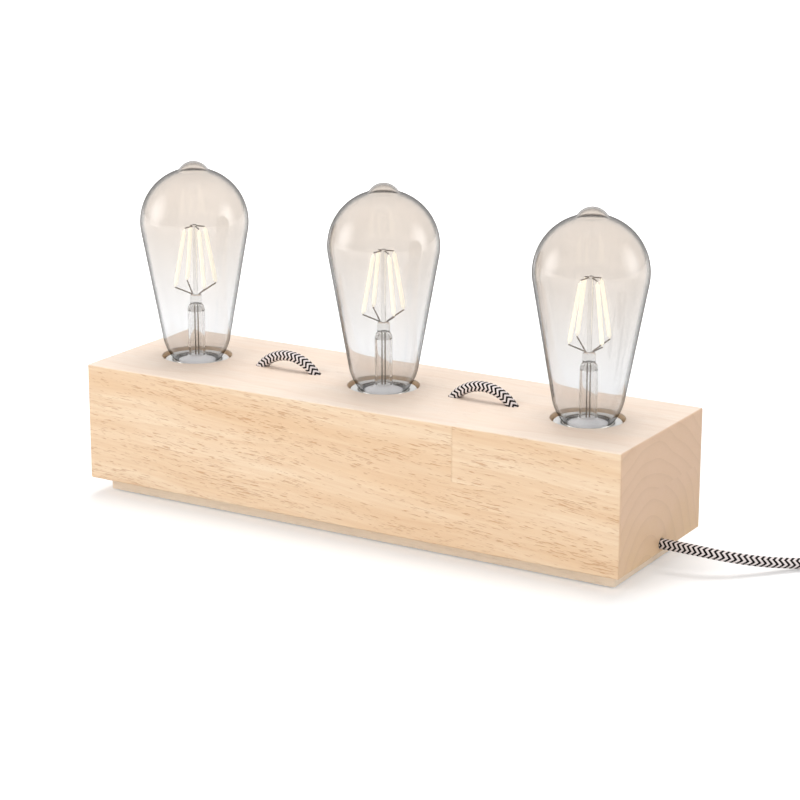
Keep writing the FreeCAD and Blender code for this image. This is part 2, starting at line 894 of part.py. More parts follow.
def bulb_contact(x):
    """The centre contact, a domed brass button with a post."""
    r = eyelet_diameter / 2
    post = eyelet_post / 2
    top = cap_foot - insulator_length - seat_gap
    low = eyelet_foot
    return turned([
        (0, low),
        (r * 0.6, low),
        ("arc", (r * 0.9, low + eyelet_height * 0.35), (r, top)),
        (post, top),
        (post, top + eyelet_post_length),
        (0, top + eyelet_post_length),
    ], x)


def bulb_driver(x):
    """The potted driver that fills the cap under the glass."""
    r = cap_diameter / 2 - cap_wall - seat_gap
    top = rim - neck_depth - seat_gap
    return turned([
        (0, top - driver_length),
        (r - 1, top - driver_length),
        (r, top - driver_length + 1),
        (r, top),
        (0, top),
    ], x)


def press_way():
    """The directions of the press's wide and narrow sides."""
    turn = math.radians(press_turn)
    return Vector(math.cos(turn), math.sin(turn), 0), Vector(-math.sin(turn), math.cos(turn), 0)


def press_top():
    """The press's upper end."""
    return rim + stem_shoulder - 2.0 + press_height


def bulb_stem(x):
    """The inner glass: a flare that closes the neck, a tube, the flattened press that
    holds the wires, and the thin rod above it."""
    wall = glass_wall
    tube_r = stem_tube / 2
    flare_r = neck_radius() - glass_wall - seat_gap
    foot = rim - neck_depth
    flare_top = foot + stem_flare_height
    flare_foot = foot + stem_collar
    top = rim + stem_shoulder
    drop = flare_top - flare_foot
    out = flare_r - tube_r
    bend = (out**2 + drop**2) / (2 * out)
    middle = math.asin(drop / bend) / 2
    axis_r = tube_r + bend
    inner = bend + wall
    inner_foot_r = flare_r - wall
    inner_angle = math.acos((axis_r - inner_foot_r) / inner)
    tube_shape = turned([
        (flare_r, foot),
        (flare_r, flare_foot),
        ("arc", (axis_r - bend * math.cos(middle), flare_top - bend * math.sin(middle)),
         (tube_r, flare_top)),
        (tube_r, top - tube_r + 1),
        ("arc", (tube_r * 0.78, top - 1.4), (1.5, top)),
        (0, top),
        (0, top - wall),
        (1.2, top - wall),
        (tube_r - wall, top - tube_r),
        (tube_r - wall, flare_top),
        ("arc", (axis_r - inner * math.cos(inner_angle / 2),
                 flare_top - inner * math.sin(inner_angle / 2)),
         (inner_foot_r, flare_top - inner * math.sin(inner_angle))),
        (inner_foot_r, foot),
    ], x)
    press_foot = press_top() - press_height
    press = box(-press_width / 2, press_width / 2, -press_thickness / 2,
                press_thickness / 2, press_foot, press_top())
    press = press.makeFillet(press_thickness * 0.42, press.Edges)
    press.rotate(Vector(0, 0, 0), UP, press_turn)
    press.translate(Vector(x, 0, 0))
    rod_foot = press_top() - 1.5
    rod_shape = rod(rod_diameter, Vector(x, 0, rod_foot), UP, rim + rod_top - rod_foot)
    return union([tube_shape, press, rod_shape])


def filament_ends(x, i):
    """Top and foot of filament i."""
    angle = math.radians(filament_turn + i * 360.0 / filament_count)
    way = Vector(math.cos(angle), math.sin(angle), 0)
    axis = Vector(x, 0, 0)
    top = axis + way * filament_top_radius + UP * (rim + filament_top)
    foot = axis + way * filament_foot_radius + UP * (rim + filament_foot)
    return top, foot, way


def bulb_filaments(x):
    """Four LED filaments, leaning out towards their feet."""
    sticks = []
    for i in range(filament_count):
        top, foot, _ = filament_ends(x, i)
        sticks.append(bar_between(filament_diameter, foot, top))
    return group(sticks)


def bulb_wires(x):
    """The support wires from the rod's top to the filaments, the lead wires from the
    press's top to their feet, and the two leads inside the stem, from the driver up to
    the press."""
    wide, narrow = press_way()
    wires = []
    lead_foot = rim - neck_depth - seat_gap
    lead_top = press_top() - press_height
    for side in (-1, 1):
        start = Vector(x, 0, lead_foot) + wide * (side * lead_reach)
        wires.append(rod(lead_wire, start, UP, lead_top - lead_foot))
    for i in range(filament_count):
        top, foot, way = filament_ends(x, i)
        axis = (foot - top).normalize()
        hub = Vector(x, 0, rim + filament_top + 1.2) + way * (rod_diameter / 2 + 0.1)
        wires.append(bar_between(support_wire, hub, top - axis * support_wire * 0.55))
        side = math.copysign(press_width * 0.3, way.dot(wide))
        step = math.copysign(press_thickness * 0.22, way.dot(narrow))
        root = Vector(x, 0, press_top() + 0.3) + wide * side + narrow * step
        wires.append(bar_between(lead_wire, root, foot + axis * lead_wire * 0.55))
    return group(wires)


# ---------------------------------------------------------------- wiring in the block


def wire_route(points, radius=core_bend):
    """A wire's path with small round corners."""
    points = [Vector(*p) for p in points]
    edges = []
    here = points[0]
    for a, corner, b in zip(points, points[1:], points[2:]):
        angle = (corner - a).getAngle(b - corner)
        arc = corner_arc(a, corner, b, radius * math.tan(angle / 2))
        edges.append(Part.makeLine(here, arc.valueAt(arc.FirstParameter)))
        edges.append(arc)
        here = arc.valueAt(arc.LastParameter)
    edges.append(Part.makeLine(here, points[-1]))
    return Part.Wire(edges)


def core_run(start_x, start_y, start_z, socket, place, side):
    """One insulated core from a cord's end to a terminal: the live ones (side 1) keep to
    the back and end on the holder's right, the neutral ones (side -1) the other way."""
    x = socket_x[socket] + side * terminal_out
    y = side * wire_places[place]
    end = (x, y, terminal_foot() + 3.0)
    start = (start_x, start_y, start_z)
    if start_z == loop_foot:
        points = [start, (start_x, start_y, core_deck), (x, y, core_deck), end]
    elif start_y == y:
        points = [start, (x, y, start_z), end]
    else:
        points = [start, (start_x - core_turn_off, start_y, start_z), (x, y, start_z), end]
    return tube(wire_route(points), core_diameter)


def cores(side):
    """The live or the neutral cores, from the mains cord to the right holder, and on
    from holder to holder by way of the arches."""
    out_y = side * core_spread
    mains = "near" if side > 0 else "far"
    leg = loop_leg_reach()
    runs = [core_run(clamp_x()[0] - cord_end_room, cord_exit_y + out_y, cord_exit_height,
                     "right", mains, side)]
    other = "far" if side > 0 else "near"
    for loop, left, right in (("left", "left", "middle"), ("right", "middle", "right")):
        runs.append(core_run(loop_x[loop] - leg, out_y, loop_foot, left, mains, side))
        runs.append(core_run(loop_x[loop] + leg, out_y, loop_foot, right, other, side))
    return group(runs)


def clamp_foot():
    """The clamp's underside, just under the cord."""
    return cord_exit_height - cord_diameter / 2 - clamp_wall


def clamp_seat():
    """The underside of the clamp's ears, where its screws bear."""
    return cord_exit_height + clamp_seat_rise


def cord_clamp():
    """The saddle that grips the mains cord inside the block, with an ear on each side."""
    x0, x1 = clamp_x()
    y = cord_exit_y
    ears = box(x0, x1, y - clamp_width / 2, y + clamp_width / 2, clamp_seat(), hollow_roof)
    upright = [e for e in ears.Edges if abs(e.tangentAt(e.FirstParameter).z) > 0.9]
    ears = ears.makeFillet(clamp_corner, upright)
    belly = box(x0, x1, y - clamp_saddle / 2, y + clamp_saddle / 2, clamp_foot(),
                hollow_roof)
    saddle = union([ears, belly])
    middle = (x0 + x1) / 2
    cuts = [rod(cord_diameter + 2 * fixing_gap,
                Vector(x0 - 1, y, cord_exit_height), ALONG, clamp_length + 2)]
    for side in (-1, 1):
        cuts.append(rod(wood_screw_shank + 2 * fixing_gap,
                        Vector(middle, y + side * clamp_screw_reach, clamp_foot()), UP,
                        hollow_roof))
    return saddle.cut(cuts)


def clamp_screws():
    """The two wood screws that draw the saddle up against the hollow's roof."""
    screws = []
    middle = sum(clamp_x()) / 2
    for side in (-1, 1):
        y = cord_exit_y + side * clamp_screw_reach
        head = pan_head(wood_screw_head, wood_screw_head_height, middle, y, clamp_seat())
        screws.append(wood_screw(head, middle, y, clamp_seat() - wood_screw_head_height,
                                 clamp_screw_length + wood_screw_head_height,
                                 wood_screw_head_height))
    return group(screws)


def cord_inside():
    """The cord's end inside the block, from behind the clamp out to the end face."""
    start = Vector(clamp_x()[0] - cord_end_room, cord_exit_y, cord_exit_height)
    return rod(cord_diameter, start, ALONG, block_end - start.x)


# ---------------------------------------------------------------- cord outside


def coil_state(turn):
    """Place and heading of the coil's axis, so many turns from its start: it winds
    clockwise from the back, in on the floor, and out again on the layer above. It climbs
    in the half turn where the spiral reverses."""
    middle = coil_turns / 2
    inward = turn < middle
    radius = coil_radius - coil_pitch * (turn if inward else coil_turns - turn)
    angle = math.radians(90 - 360 * turn)
    out = Vector(math.cos(angle), math.sin(angle), 0)
    clockwise = Vector(math.sin(angle), -math.cos(angle), 0)
    climb = min(max((turn - middle) / 0.5 + 0.5, 0), 1)
    height = coil_pitch * (1 - math.cos(math.pi * climb)) / 2
    place = coil_centre + out * radius + UP * height
    drift = 0 if abs(turn - middle) < 0.01 else coil_pitch * (-1 if inward else 1)
    rise = coil_pitch * math.pi * math.sin(math.pi * climb)
    heading = clockwise * (2 * math.pi * radius) + out * drift + UP * rise
    return place, heading.normalize()


def biarc(start, start_heading, end, end_heading):
    """Two tangent arcs that join two places, each left and reached in its heading."""
    chord = end - start
    both = start_heading + end_heading
    spread = 2 * (1 - start_heading.dot(end_heading))
    along = chord.dot(both)
    reach = (math.sqrt(along**2 + spread * chord.dot(chord)) - along) / spread
    first_corner = start + start_heading * reach
    last_corner = end - end_heading * reach
    middle = (first_corner + last_corner) * 0.5
    return [tangent_arc(start, first_corner, middle),
            tangent_arc(middle, last_corner, end)]


def coil_path():
    """The coil's axis: a straight end, an eighth turn, then quarter turns, an eighth
    turn and the other straight end."""
    quarters = int(round((coil_turns - 0.25) / 0.25))
    stops = [0.125 + 0.25 * i for i in range(quarters + 1)]
    states = [(coil_start + ALONG * coil_end_run, ALONG)]
    states += [coil_state(turn) for turn in stops]
    states += [(coil_end + BACK * coil_end_run, BACK * -1)]
    edges = [Part.makeLine(coil_start, states[0][0])]
    for (a, a_heading), (b, b_heading) in zip(states, states[1:]):
        edges += biarc(a, a_heading, b, b_heading)
    edges.append(Part.makeLine(states[-1][0], coil_end))
    return Part.Wire(edges)


def least_gap(path, diameter):
    """The least distance between two turns of a tube, measured on points of its axis
    that lie more than half a turn apart along it."""
    count = 600
    points = path.discretize(count)
    step = path.Length / (count - 1)
    skip = int(60.0 / step)
    least = path.Length
    for i, p in enumerate(points):
        for q in points[i + skip:]:
            least = min(least, p.distanceToPoint(q))
    return least - diameter


# ---------------------------------------------------------------- switch and plug


def switch_plan(inset, x_inset=0.0):
    """The switch's outline in plan: straight ends, sides that swell to the middle."""
    x0 = switch_start.x + x_inset
    x1 = switch_end.x - x_inset
    y = switch_start.y
    middle = (x0 + x1) / 2
    end = switch_end_width / 2 - inset
    side = switch_width / 2 - inset
    corners = [Vector(x0, y - end, 0), Vector(x1, y - end, 0),
               Vector(x1, y + end, 0), Vector(x0, y + end, 0)]
    edges = [
        Part.Arc(corners[0], Vector(middle, y - side, 0), corners[1]).toShape(),
        Part.makeLine(corners[1], corners[2]),
        Part.Arc(corners[2], Vector(middle, y + side, 0), corners[3]).toShape(),
        Part.makeLine(corners[3], corners[0]),
    ]
    return Part.Face(Part.Wire(edges))


def switch_housing(z0, z1, rounded_z):
    """One half of the housing: a shell, open where the halves meet, with half of each
    cord gland, and its outer edges rounded."""
    solid = switch_plan(0).extrude(UP * (z1 - z0)).translated(UP * z0)
    upright = [e for e in solid.Edges if abs(e.tangentAt(e.FirstParameter).z) > 0.9]
    solid = solid.makeFillet(switch_corner, upright)
    rounded = [e for e in solid.Edges if lies_at(e, rounded_z)]
    solid = solid.makeFillet(switch_round, rounded)
    low = z0 + (switch_wall if rounded_z == z0 else -1)
    high = z1 - (switch_wall if rounded_z == z1 else -1)
    room = switch_plan(switch_wall, switch_grip).extrude(UP * (high - low))
    gland = rod(cord_diameter + 2 * fixing_gap,
                switch_start - ALONG, ALONG, switch_length + 2)
    return solid.cut([room.translated(UP * low), gland])


def switch_middle():
    """The switch's middle, on the floor."""
    middle = (switch_start + switch_end) * 0.5
    return Vector(middle.x, middle.y, 0)


def rocker_pivot():
    """The rocker's axis."""
    return switch_middle() + UP * (switch_height - switch_wall - rocker_sink)


def rocker_opening():
    """Half the length and half the width of the opening that the rocker tips in."""
    return rocker_length / 2 + rocker_end_gap, rocker_width / 2 + rocker_gap


def switch_screw_places():
    """One screw each side of the rocker, on opposite sides of the cord."""
    step = ALONG * switch_screw_reach - BACK * switch_screw_side
    return [switch_middle() - step, switch_middle() + step]


def switch_screw_seat():
    """The underside of the screws' heads, above the floor."""
    return switch_screw_sink + switch_screw_head_height


def switch_posts(z0, z1):
    """The two round posts round the screws, between two heights."""
    return [rod(switch_post, place + UP * z0, UP, z1 - z0)
            for place in switch_screw_places()]


def switch_bottom():
    """The lower half, with the two posts that the screws go up through."""
    shell = switch_housing(0, switch_cord_height, 0)
    shell = union([shell] + switch_posts(switch_wall / 2, switch_cord_height))
    holes = []
    for place in switch_screw_places():
        holes.append(rod(switch_screw + switch_screw_clearance, place - UP, UP,
                         switch_height))
        holes.append(rod(switch_screw_head + 2 * fixing_gap, place - UP, UP,
                         1 + switch_screw_seat()))
    return shell.cut(holes)


def switch_top():
    """The upper half, with the collar round the rocker, its bearing and the posts."""
    shell = switch_housing(switch_cord_height, switch_height, switch_height)
    middle = switch_middle()
    pivot = rocker_pivot()
    half_x, half_y = rocker_opening()
    collar_x = half_x + well_wall
    collar_y = half_y + well_wall
    well = box(middle.x - collar_x, middle.x + collar_x, middle.y - collar_y,
               middle.y + collar_y, pivot.z - well_depth, switch_height - switch_wall / 3)
    posts = switch_posts(switch_cord_height, switch_height - switch_wall / 2)
    shell = union([shell, well] + posts)
    opening = box(middle.x - half_x, middle.x + half_x, middle.y - half_y,
                  middle.y + half_y, switch_cord_height - 1, switch_height + 1)
    bearing_half = half_y + bearing_depth
    bearing = rod(rocker_pin + 2 * fixing_gap, pivot - BACK * bearing_half, BACK,
                  2 * bearing_half)
    tip = switch_screw_seat() + switch_screw_length + pilot_room
    pilots = [rod(switch_screw + 2 * fixing_gap, place + UP * (switch_cord_height - 1), UP,
                  tip - switch_cord_height + 1)
              for place in switch_screw_places()]
    return shell.cut([opening, bearing] + pilots)


def switch_rocker():
    """The rocker, tipped to its off end: a bent top face, round ends, a pivot pin, and a
    foot that works the contact."""
    pivot = rocker_pivot()
    half = rocker_length / 2
    top = switch_height + rocker_proud - pivot.z
    low = -rocker_skirt
    side_view = [(-half, low), (half, low), (half, top), (0, top - rocker_dip),
                 (-half, top)]
    points = [Vector(px, -rocker_width / 2, pz) for px, pz in side_view]
    body = Part.Face(Part.makePolygon(points + [points[0]])).extrude(BACK * rocker_width)
    ends = rod(rocker_length, Vector(0, -rocker_width, 0), BACK, 2 * rocker_width)
    body = body.common(ends)
    pin_half = rocker_opening()[1] + bearing_depth - bearing_end_gap
    pin = rod(rocker_pin, Vector(0, -pin_half, 0), BACK, 2 * pin_half)
    foot = box(-rocker_foot / 2, rocker_foot / 2, -rocker_foot / 2, rocker_foot / 2,
               low - rocker_foot_length, low)
    rocker = union([body, pin, foot])
    rocker.rotate(Vector(0, 0, 0), BACK, -rocker_angle / 2)
    return rocker.translated(pivot)


def switch_contacts():
    """The fixed brass contacts on the lower half's floor, one at each cord end."""
    middle = switch_middle()
    pieces = []
    for side in (-1, 1):
        near = middle.x + side * contact_reach
        far = near + side * contact_length
        pieces.append(box(min(near, far), max(near, far), middle.y - contact_width / 2,
                          middle.y + contact_width / 2, switch_wall,
                          switch_wall + contact_height))
    return group(pieces)


def switch_screws():
    """The two small slotted screws that hold the switch's halves together."""
    screws = []
    seat = switch_screw_seat()
    for place in switch_screw_places():
        head = rod(switch_screw_head, place + UP * switch_screw_sink, UP,
                   switch_screw_head_height)
        shank = rod(switch_screw, place + UP * seat, UP, switch_screw_length)
        slot = box(place.x - switch_screw_head, place.x + switch_screw_head,
                   place.y - switch_screw_slot / 2, place.y + switch_screw_slot / 2, -1,
                   switch_screw_sink + switch_screw_slot)
        screws.append(union([head, shank]).cut(slot))
    return group(screws)


def plug_body():
    """The moulded plug: a flat shield-shaped body and the ringed, tapered relief that the
    cord comes out of."""
    x_back = plug_start.x - relief_length
    x_front = x_back - plug_length
    y = plug_start.y
    half = plug_width / 2
    neck = plug_neck / 2
    corners = [(x_front, -half), (x_front, half), (x_front + plug_straight, half),
               (x_back, neck), (x_back, -neck), (x_front + plug_straight, -half)]
    points = [Vector(px, y + py, 0) for px, py in corners]
    body = Part.Face(Part.makePolygon(points + [points[0]])).extrude(UP * plug_thickness)
    upright = [e for e in body.Edges if abs(e.tangentAt(e.FirstParameter).z) > 0.9]
    body = body.makeFillet(plug_round, upright)
    flat = [e for e in body.Edges
            if e.BoundBox.ZLength < 0.01 and e.BoundBox.XMax > x_front + 0.1]
    body = body.makeFillet(plug_round * 0.9, flat)
    profile = [Vector(0, 0, 0), Vector(0, relief_start / 2, 0)]
    step = relief_length / (relief_rings + 1)
    for i in range(relief_rings):
        at = step * (i + 1)
        r = relief_start / 2 + (relief_end - relief_start) / 2 * at / relief_length
        profile += [Vector(at - ring_groove / 2, r, 0),
                    Vector(at - ring_groove / 2, r - ring_depth, 0),
                    Vector(at + ring_groove / 2, r - ring_depth, 0),
                    Vector(at + ring_groove / 2, r, 0)]
    profile += [Vector(relief_length, relief_end / 2, 0), Vector(relief_length, 0, 0)]
    relief = Part.Face(Part.makePolygon(profile + [profile[0]])).revolve(
        Vector(0, 0, 0), ALONG, 360)
    relief.translate(Vector(x_back, y, plug_axis))
    root = rod(relief_start, Vector(x_back - relief_root, y, plug_axis), ALONG,
               relief_root)
    body = union([body, root, relief])
    sockets = [rod(pin_diameter + 2 * fixing_gap,
                   Vector(x_front - 1, y + side * pin_spacing / 2, plug_axis), ALONG,
                   pin_root + 1)
               for side in (-1, 1)]
    return body.cut(sockets)


def plug_pins():
    """The two round pins, slimmer at the sleeve and rounded at the tip."""
    x_front = plug_start.x - relief_length - plug_length
    r = pin_diameter / 2
    sleeve = pin_sleeve / 2
    nose = 1.2
    profile = [Vector(0, 0, 0), Vector(0, r, 0), Vector(-pin_root, r, 0),
               Vector(-pin_root, sleeve, 0), Vector(-pin_root - pin_sleeve_length, sleeve, 0),
               Vector(-pin_root - pin_sleeve_length, r, 0),
               Vector(-pin_root - pin_length + nose, r, 0),
               Vector(-pin_root - pin_length, r - nose, 0),
               Vector(-pin_root - pin_length, 0, 0)]
    pin = Part.Face(Part.makePolygon(profile + [profile[0]])).revolve(
        Vector(0, 0, 0), ALONG, 360)
    pins = []
    for side in (-1, 1):
        place = Vector(x_front + pin_root, plug_start.y + side * pin_spacing / 2, plug_axis)
        pins.append(pin.translated(place))
    return group(pins)


# ---------------------------------------------------------------- build

save("wood_block", wood_block())
save("base_plate", base_plate())
save("base_screws", base_screws())
save("foot_pads", foot_pads())

for name, x in socket_x.items():
    save("holder_body_" + name, placed(holder_body(), x))
    save("holder_shell_" + name, placed(holder_shell(), x, True))
    save("holder_contact_" + name, placed(holder_contact(), x))
    save("bulb_glass_" + name, bulb_glass(x))
    save("bulb_cap_" + name, bulb_cap(x))
    save("bulb_insulator_" + name, bulb_insulator(x))
    save("bulb_contact_" + name, bulb_contact(x))
    save("bulb_driver_" + name, bulb_driver(x))
    save("bulb_stem_" + name, bulb_stem(x))
    save("bulb_filaments_" + name, bulb_filaments(x))
    save("bulb_wires_" + name, bulb_wires(x))

save("holder_brackets", holder_brackets())
save("bracket_screws", bracket_screws())
save("holder_bolts", holder_bolts())
save("terminal_screws", terminal_screws())

for name in loop_x:
    save("cord_loop_" + name, tube(loop_path(name), cord_diameter, "cord_loop_" + name))
save("live_cores", cores(1))
save("neutral_cores", cores(-1))
save("cord_clamp", cord_clamp())
save("clamp_screws", clamp_screws())
save("cord_inside", cord_inside())

save("cord_lead", tube(route(lead_points, "cord_lead"), cord_diameter, "cord_lead"))
save("cord_link", tube(route(link_points, "cord_link"), cord_diameter, "cord_link"))
coil = coil_path()
save("cord_coil", tube(coil, cord_diameter, "cord_coil"))
print("cord_coil least gap to itself: %.2f mm" % least_gap(coil, cord_diameter))
save("cord_tail", tube(route(tail_points, "cord_tail"), cord_diameter, "cord_tail"))

save("switch_bottom", switch_bottom())
save("switch_top", switch_top())
save("switch_rocker", switch_rocker())
save("switch_contacts", switch_contacts())
save("switch_screws", switch_screws())
save("plug_body", plug_body())
save("plug_pins", plug_pins())
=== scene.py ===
# %% [markdown]
# # A block lamp with three bare bulbs
# A low block of pale hardwood stands on a smaller base. Three LED filament bulbs stand in
# white porcelain holders sunk in a row in its top, short arches of braided cord show
# between them, and the mains cord leaves low through the right end.
#
# The engineered model comes in as a fixed frame, in metres: X along the block, front at
# -Y, Z up, with the origin on the floor under the base. It could be rebuilt here, but then
# the looks and the real part would drift apart, so its nodes keep their shapes and get
# materials. Only what is woven, threaded or made of glass gets a finer surface here.

import json
import math

import bmesh
import bpy
import numpy as np
from mathutils import Matrix, Vector

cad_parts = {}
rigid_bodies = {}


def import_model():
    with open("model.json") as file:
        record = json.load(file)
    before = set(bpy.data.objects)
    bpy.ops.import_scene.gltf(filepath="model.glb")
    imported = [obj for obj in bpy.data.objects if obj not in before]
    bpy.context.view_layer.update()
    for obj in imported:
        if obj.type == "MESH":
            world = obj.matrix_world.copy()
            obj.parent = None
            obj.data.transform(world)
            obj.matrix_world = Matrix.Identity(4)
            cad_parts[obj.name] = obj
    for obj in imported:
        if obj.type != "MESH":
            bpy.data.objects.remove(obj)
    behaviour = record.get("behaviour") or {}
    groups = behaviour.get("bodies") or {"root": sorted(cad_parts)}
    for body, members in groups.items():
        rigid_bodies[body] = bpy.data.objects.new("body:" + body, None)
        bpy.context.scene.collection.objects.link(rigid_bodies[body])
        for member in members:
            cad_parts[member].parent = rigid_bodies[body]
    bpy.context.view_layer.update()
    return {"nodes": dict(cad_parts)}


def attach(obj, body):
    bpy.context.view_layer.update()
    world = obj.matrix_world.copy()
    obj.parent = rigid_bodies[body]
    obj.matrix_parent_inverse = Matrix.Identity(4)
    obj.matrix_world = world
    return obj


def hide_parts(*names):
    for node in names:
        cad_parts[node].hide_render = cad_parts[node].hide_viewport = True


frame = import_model()
nodes = frame["nodes"]
MM = 0.001

# %% [markdown]
# ## The camera
# The picture was taken from the front right, a little above the lamp, with a long lens, so
# the block's edges hardly converge. A camera could be aimed with a constraint, but three
# turns written out keep the horizon's slight tilt: first round the upright axis, then
# down, then round the line of sight.

# %% Camera
camera_data = bpy.data.cameras.new("camera")
camera_data.lens = 110.78
camera_data.sensor_width = 36.0
camera_data.clip_start = 0.05
camera = bpy.data.objects.new("camera", camera_data)
bpy.context.collection.objects.link(camera)
yaw = 0.53787
pitch = 0.27613
roll = 0.00179
turn = (Matrix.Rotation(yaw, 4, "Z")
        @ Matrix.Rotation(math.pi / 2 - pitch, 4, "X")
        @ Matrix.Rotation(roll, 4, "Z"))
camera.matrix_world = Matrix.Translation((0.70401, -1.16419, 0.45666)) @ turn
bpy.context.scene.camera = camera
bpy.context.scene.view_settings.view_transform = "Standard"
print("camera", [round(v, 3) for v in camera.matrix_world.translation])

# %% [markdown]
# ## Two small helpers
# Every material below is a graph of nodes. One helper adds a node and fills its inputs,
# where a socket is linked and anything else is set as its value. The other turns a grid of
# points into a mesh. A grid can be closed by indices that wrap round, but then its seam has
# no room for a second set of UVs, so the seam is doubled here and merged afterwards.


# %% Node and surface helpers
def add(tree, kind, inputs=None, **settings):
    """A node in a tree: an input given as a socket is linked, else it is its value."""
    made = tree.nodes.new(kind)
    for key, value in settings.items():
        setattr(made, key, value)
    for key, value in (inputs or {}).items():
        if isinstance(value, bpy.types.NodeSocket):
            tree.links.new(value, made.inputs[key])
        else:
            made.inputs[key].default_value = value
    return made


def maths(tree, operation, a, b=0.0, c=0.0):
    """The output of a Math node."""
    made = add(tree, "ShaderNodeMath", {0: a, 1: b, 2: c}, operation=operation)
    return made.outputs[0]


def blend(tree, factor, a, b):
    """The colour a turned into b by the factor."""
    made = add(tree, "ShaderNodeMix", {0: factor, 6: a, 7: b}, data_type="RGBA")
    return made.outputs[2]


def spread(tree, value, low, high, to_low=0.0, to_high=1.0):
    """A value mapped from one range to another and kept inside it."""
    made = add(tree, "ShaderNodeMapRange",
               {0: value, 1: low, 2: high, 3: to_low, 4: to_high})
    return made.outputs[0]


def surface(name, points, uv=None, body="base", flip=False, gap_after=None):
    """A mesh on a grid of points (rows, columns, 3), in metres. uv (rows, columns, 2)
    goes to its own map. No faces follow the row gap_after. Doubled points at seams and
    poles are merged."""
    rows, columns = points.shape[:2]
    index = np.arange(rows * columns).reshape(rows, columns)
    quads = np.stack([index[:-1, :-1], index[:-1, 1:], index[1:, 1:], index[1:, :-1]], -1)
    if gap_after is not None:
        quads = np.delete(quads, gap_after, axis=0)
    quads = quads.reshape(-1, 4)
    if flip:
        quads = quads[:, ::-1]
    mesh = bpy.data.meshes.new(name)
    mesh.from_pydata(points.reshape(-1, 3), [], quads)
    if uv is not None:
        layer = mesh.uv_layers.new(name="weave")
        layer.data.foreach_set("uv", uv.reshape(-1, 2)[quads.ravel()].ravel().astype("f"))
    work = bmesh.new()
    work.from_mesh(mesh)
    bmesh.ops.remove_doubles(work, verts=work.verts, dist=1e-7)
    bmesh.ops.dissolve_degenerate(work, edges=work.edges, dist=1e-8)
    work.to_mesh(mesh)
    work.free()
    mesh.shade_smooth()
    made = bpy.data.objects.new(name, mesh)
    bpy.context.collection.objects.link(made)
    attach(made, body)
    return made


def turned(radius, height, columns=96, x=0.0):
    """A surface of revolution about the upright line through (x, 0): radius and height
    are arrays along the profile, or grids with one column more than `columns`."""
    angle = np.linspace(0, 2 * np.pi, columns + 1)[None, :]
    radius = np.asarray(radius, float)
    height = np.asarray(height, float)
    if radius.ndim == 1:
        radius = radius[:, None]
        height = height[:, None]
    radius = radius + 0 * angle
    height = height + 0 * angle
    angle = angle + 0 * radius
    angle[:, -1] = 0.0
    points = np.stack([x + radius * np.cos(angle), radius * np.sin(angle), height], -1)
    return points


print("helpers ready")

# %% [markdown]
# ## The floor and the light
# The photograph is a shop picture: the background and the floor are pure white, and only
# a thin soft shadow is left round the base. More light would bleach the wood, so the white
# comes from what the camera sees, and what it sees in gloss and through glass: a little
# glow is added to a pale floor for those rays alone, and the shadow stays in it. The soft
# white patches in the bulbs are the studio's boards. The lamps' own outlines would show
# as hard squares in the glass, so gloss sees boards that fade outwards instead.


# %% Floor, background and lamps
def seen_directly(tree):
    """1 for rays from the camera, from gloss and through glass, else 0."""
    path = add(tree, "ShaderNodeLightPath").outputs
    seen = maths(tree, "MAXIMUM", path["Is Camera Ray"], path["Is Glossy Ray"])
    return maths(tree, "MAXIMUM", seen, path["Is Transmission Ray"])


floor_material = bpy.data.materials.new("floor_white")
floor_material.use_nodes = True
tree = floor_material.node_tree
tree.nodes.clear()
place = add(tree, "ShaderNodeTexCoord").outputs["Object"]
away = add(tree, "ShaderNodeVectorMath", {0: place}, operation="LENGTH").outputs["Value"]
near = 0.3
far = 1.1
near_glow = 0.30
whiten = spread(tree, away, near, far, near_glow, 1.0)
strength = maths(tree, "MULTIPLY", seen_directly(tree), whiten)
diffuse = add(tree, "ShaderNodeBsdfDiffuse", {"Color": (0.80, 0.80, 0.80, 1)})
glow = add(tree, "ShaderNodeEmission", {"Color": (1, 1, 1, 1), "Strength": strength})
both = add(tree, "ShaderNodeAddShader", {0: diffuse.outputs[0], 1: glow.outputs[0]})
add(tree, "ShaderNodeOutputMaterial", {"Surface": both.outputs[0]})

reach = 6.0
sunk = -0.05 * MM
floor_mesh = bpy.data.meshes.new("floor")
floor_mesh.from_pydata([(-reach, -reach, sunk), (reach, -reach, sunk), (reach, reach, sunk),
                        (-reach, reach, sunk)], [], [(0, 1, 2, 3)])
floor = bpy.data.objects.new("floor", floor_mesh)
bpy.context.collection.objects.link(floor)
floor_mesh.materials.append(floor_material)

world = bpy.data.worlds.new("white_room")
bpy.context.scene.world = world
world.use_nodes = True
tree = world.node_tree
tree.nodes.clear()
room_light = 0.52
ambient = add(tree, "ShaderNodeBackground", {"Color": (1, 1, 1, 1), "Strength": room_light})
white = add(tree, "ShaderNodeBackground", {"Color": (1, 1, 1, 1), "Strength": 1.0})
room = add(tree, "ShaderNodeMixShader",
           {0: seen_directly(tree), 1: ambient.outputs[0], 2: white.outputs[0]})
add(tree, "ShaderNodeOutputWorld", {"Surface": room.outputs[0]})


def softbox(name, place, aim, width, height, power):
    """A rectangular soft lamp at a place, turned towards an aim. Gloss and glass don't
    show it: they show the white room and the boards."""
    data = bpy.data.lights.new(name, "AREA")
    data.shape = "RECTANGLE"
    data.size = width
    data.size_y = height
    data.energy = power
    lamp = bpy.data.objects.new(name, data)
    bpy.context.collection.objects.link(lamp)
    lamp.location = place
    lamp.rotation_euler = (Vector(place) - Vector(aim)).to_track_quat("Z", "Y").to_euler()
    lamp.visible_glossy = False
    lamp.visible_transmission = False


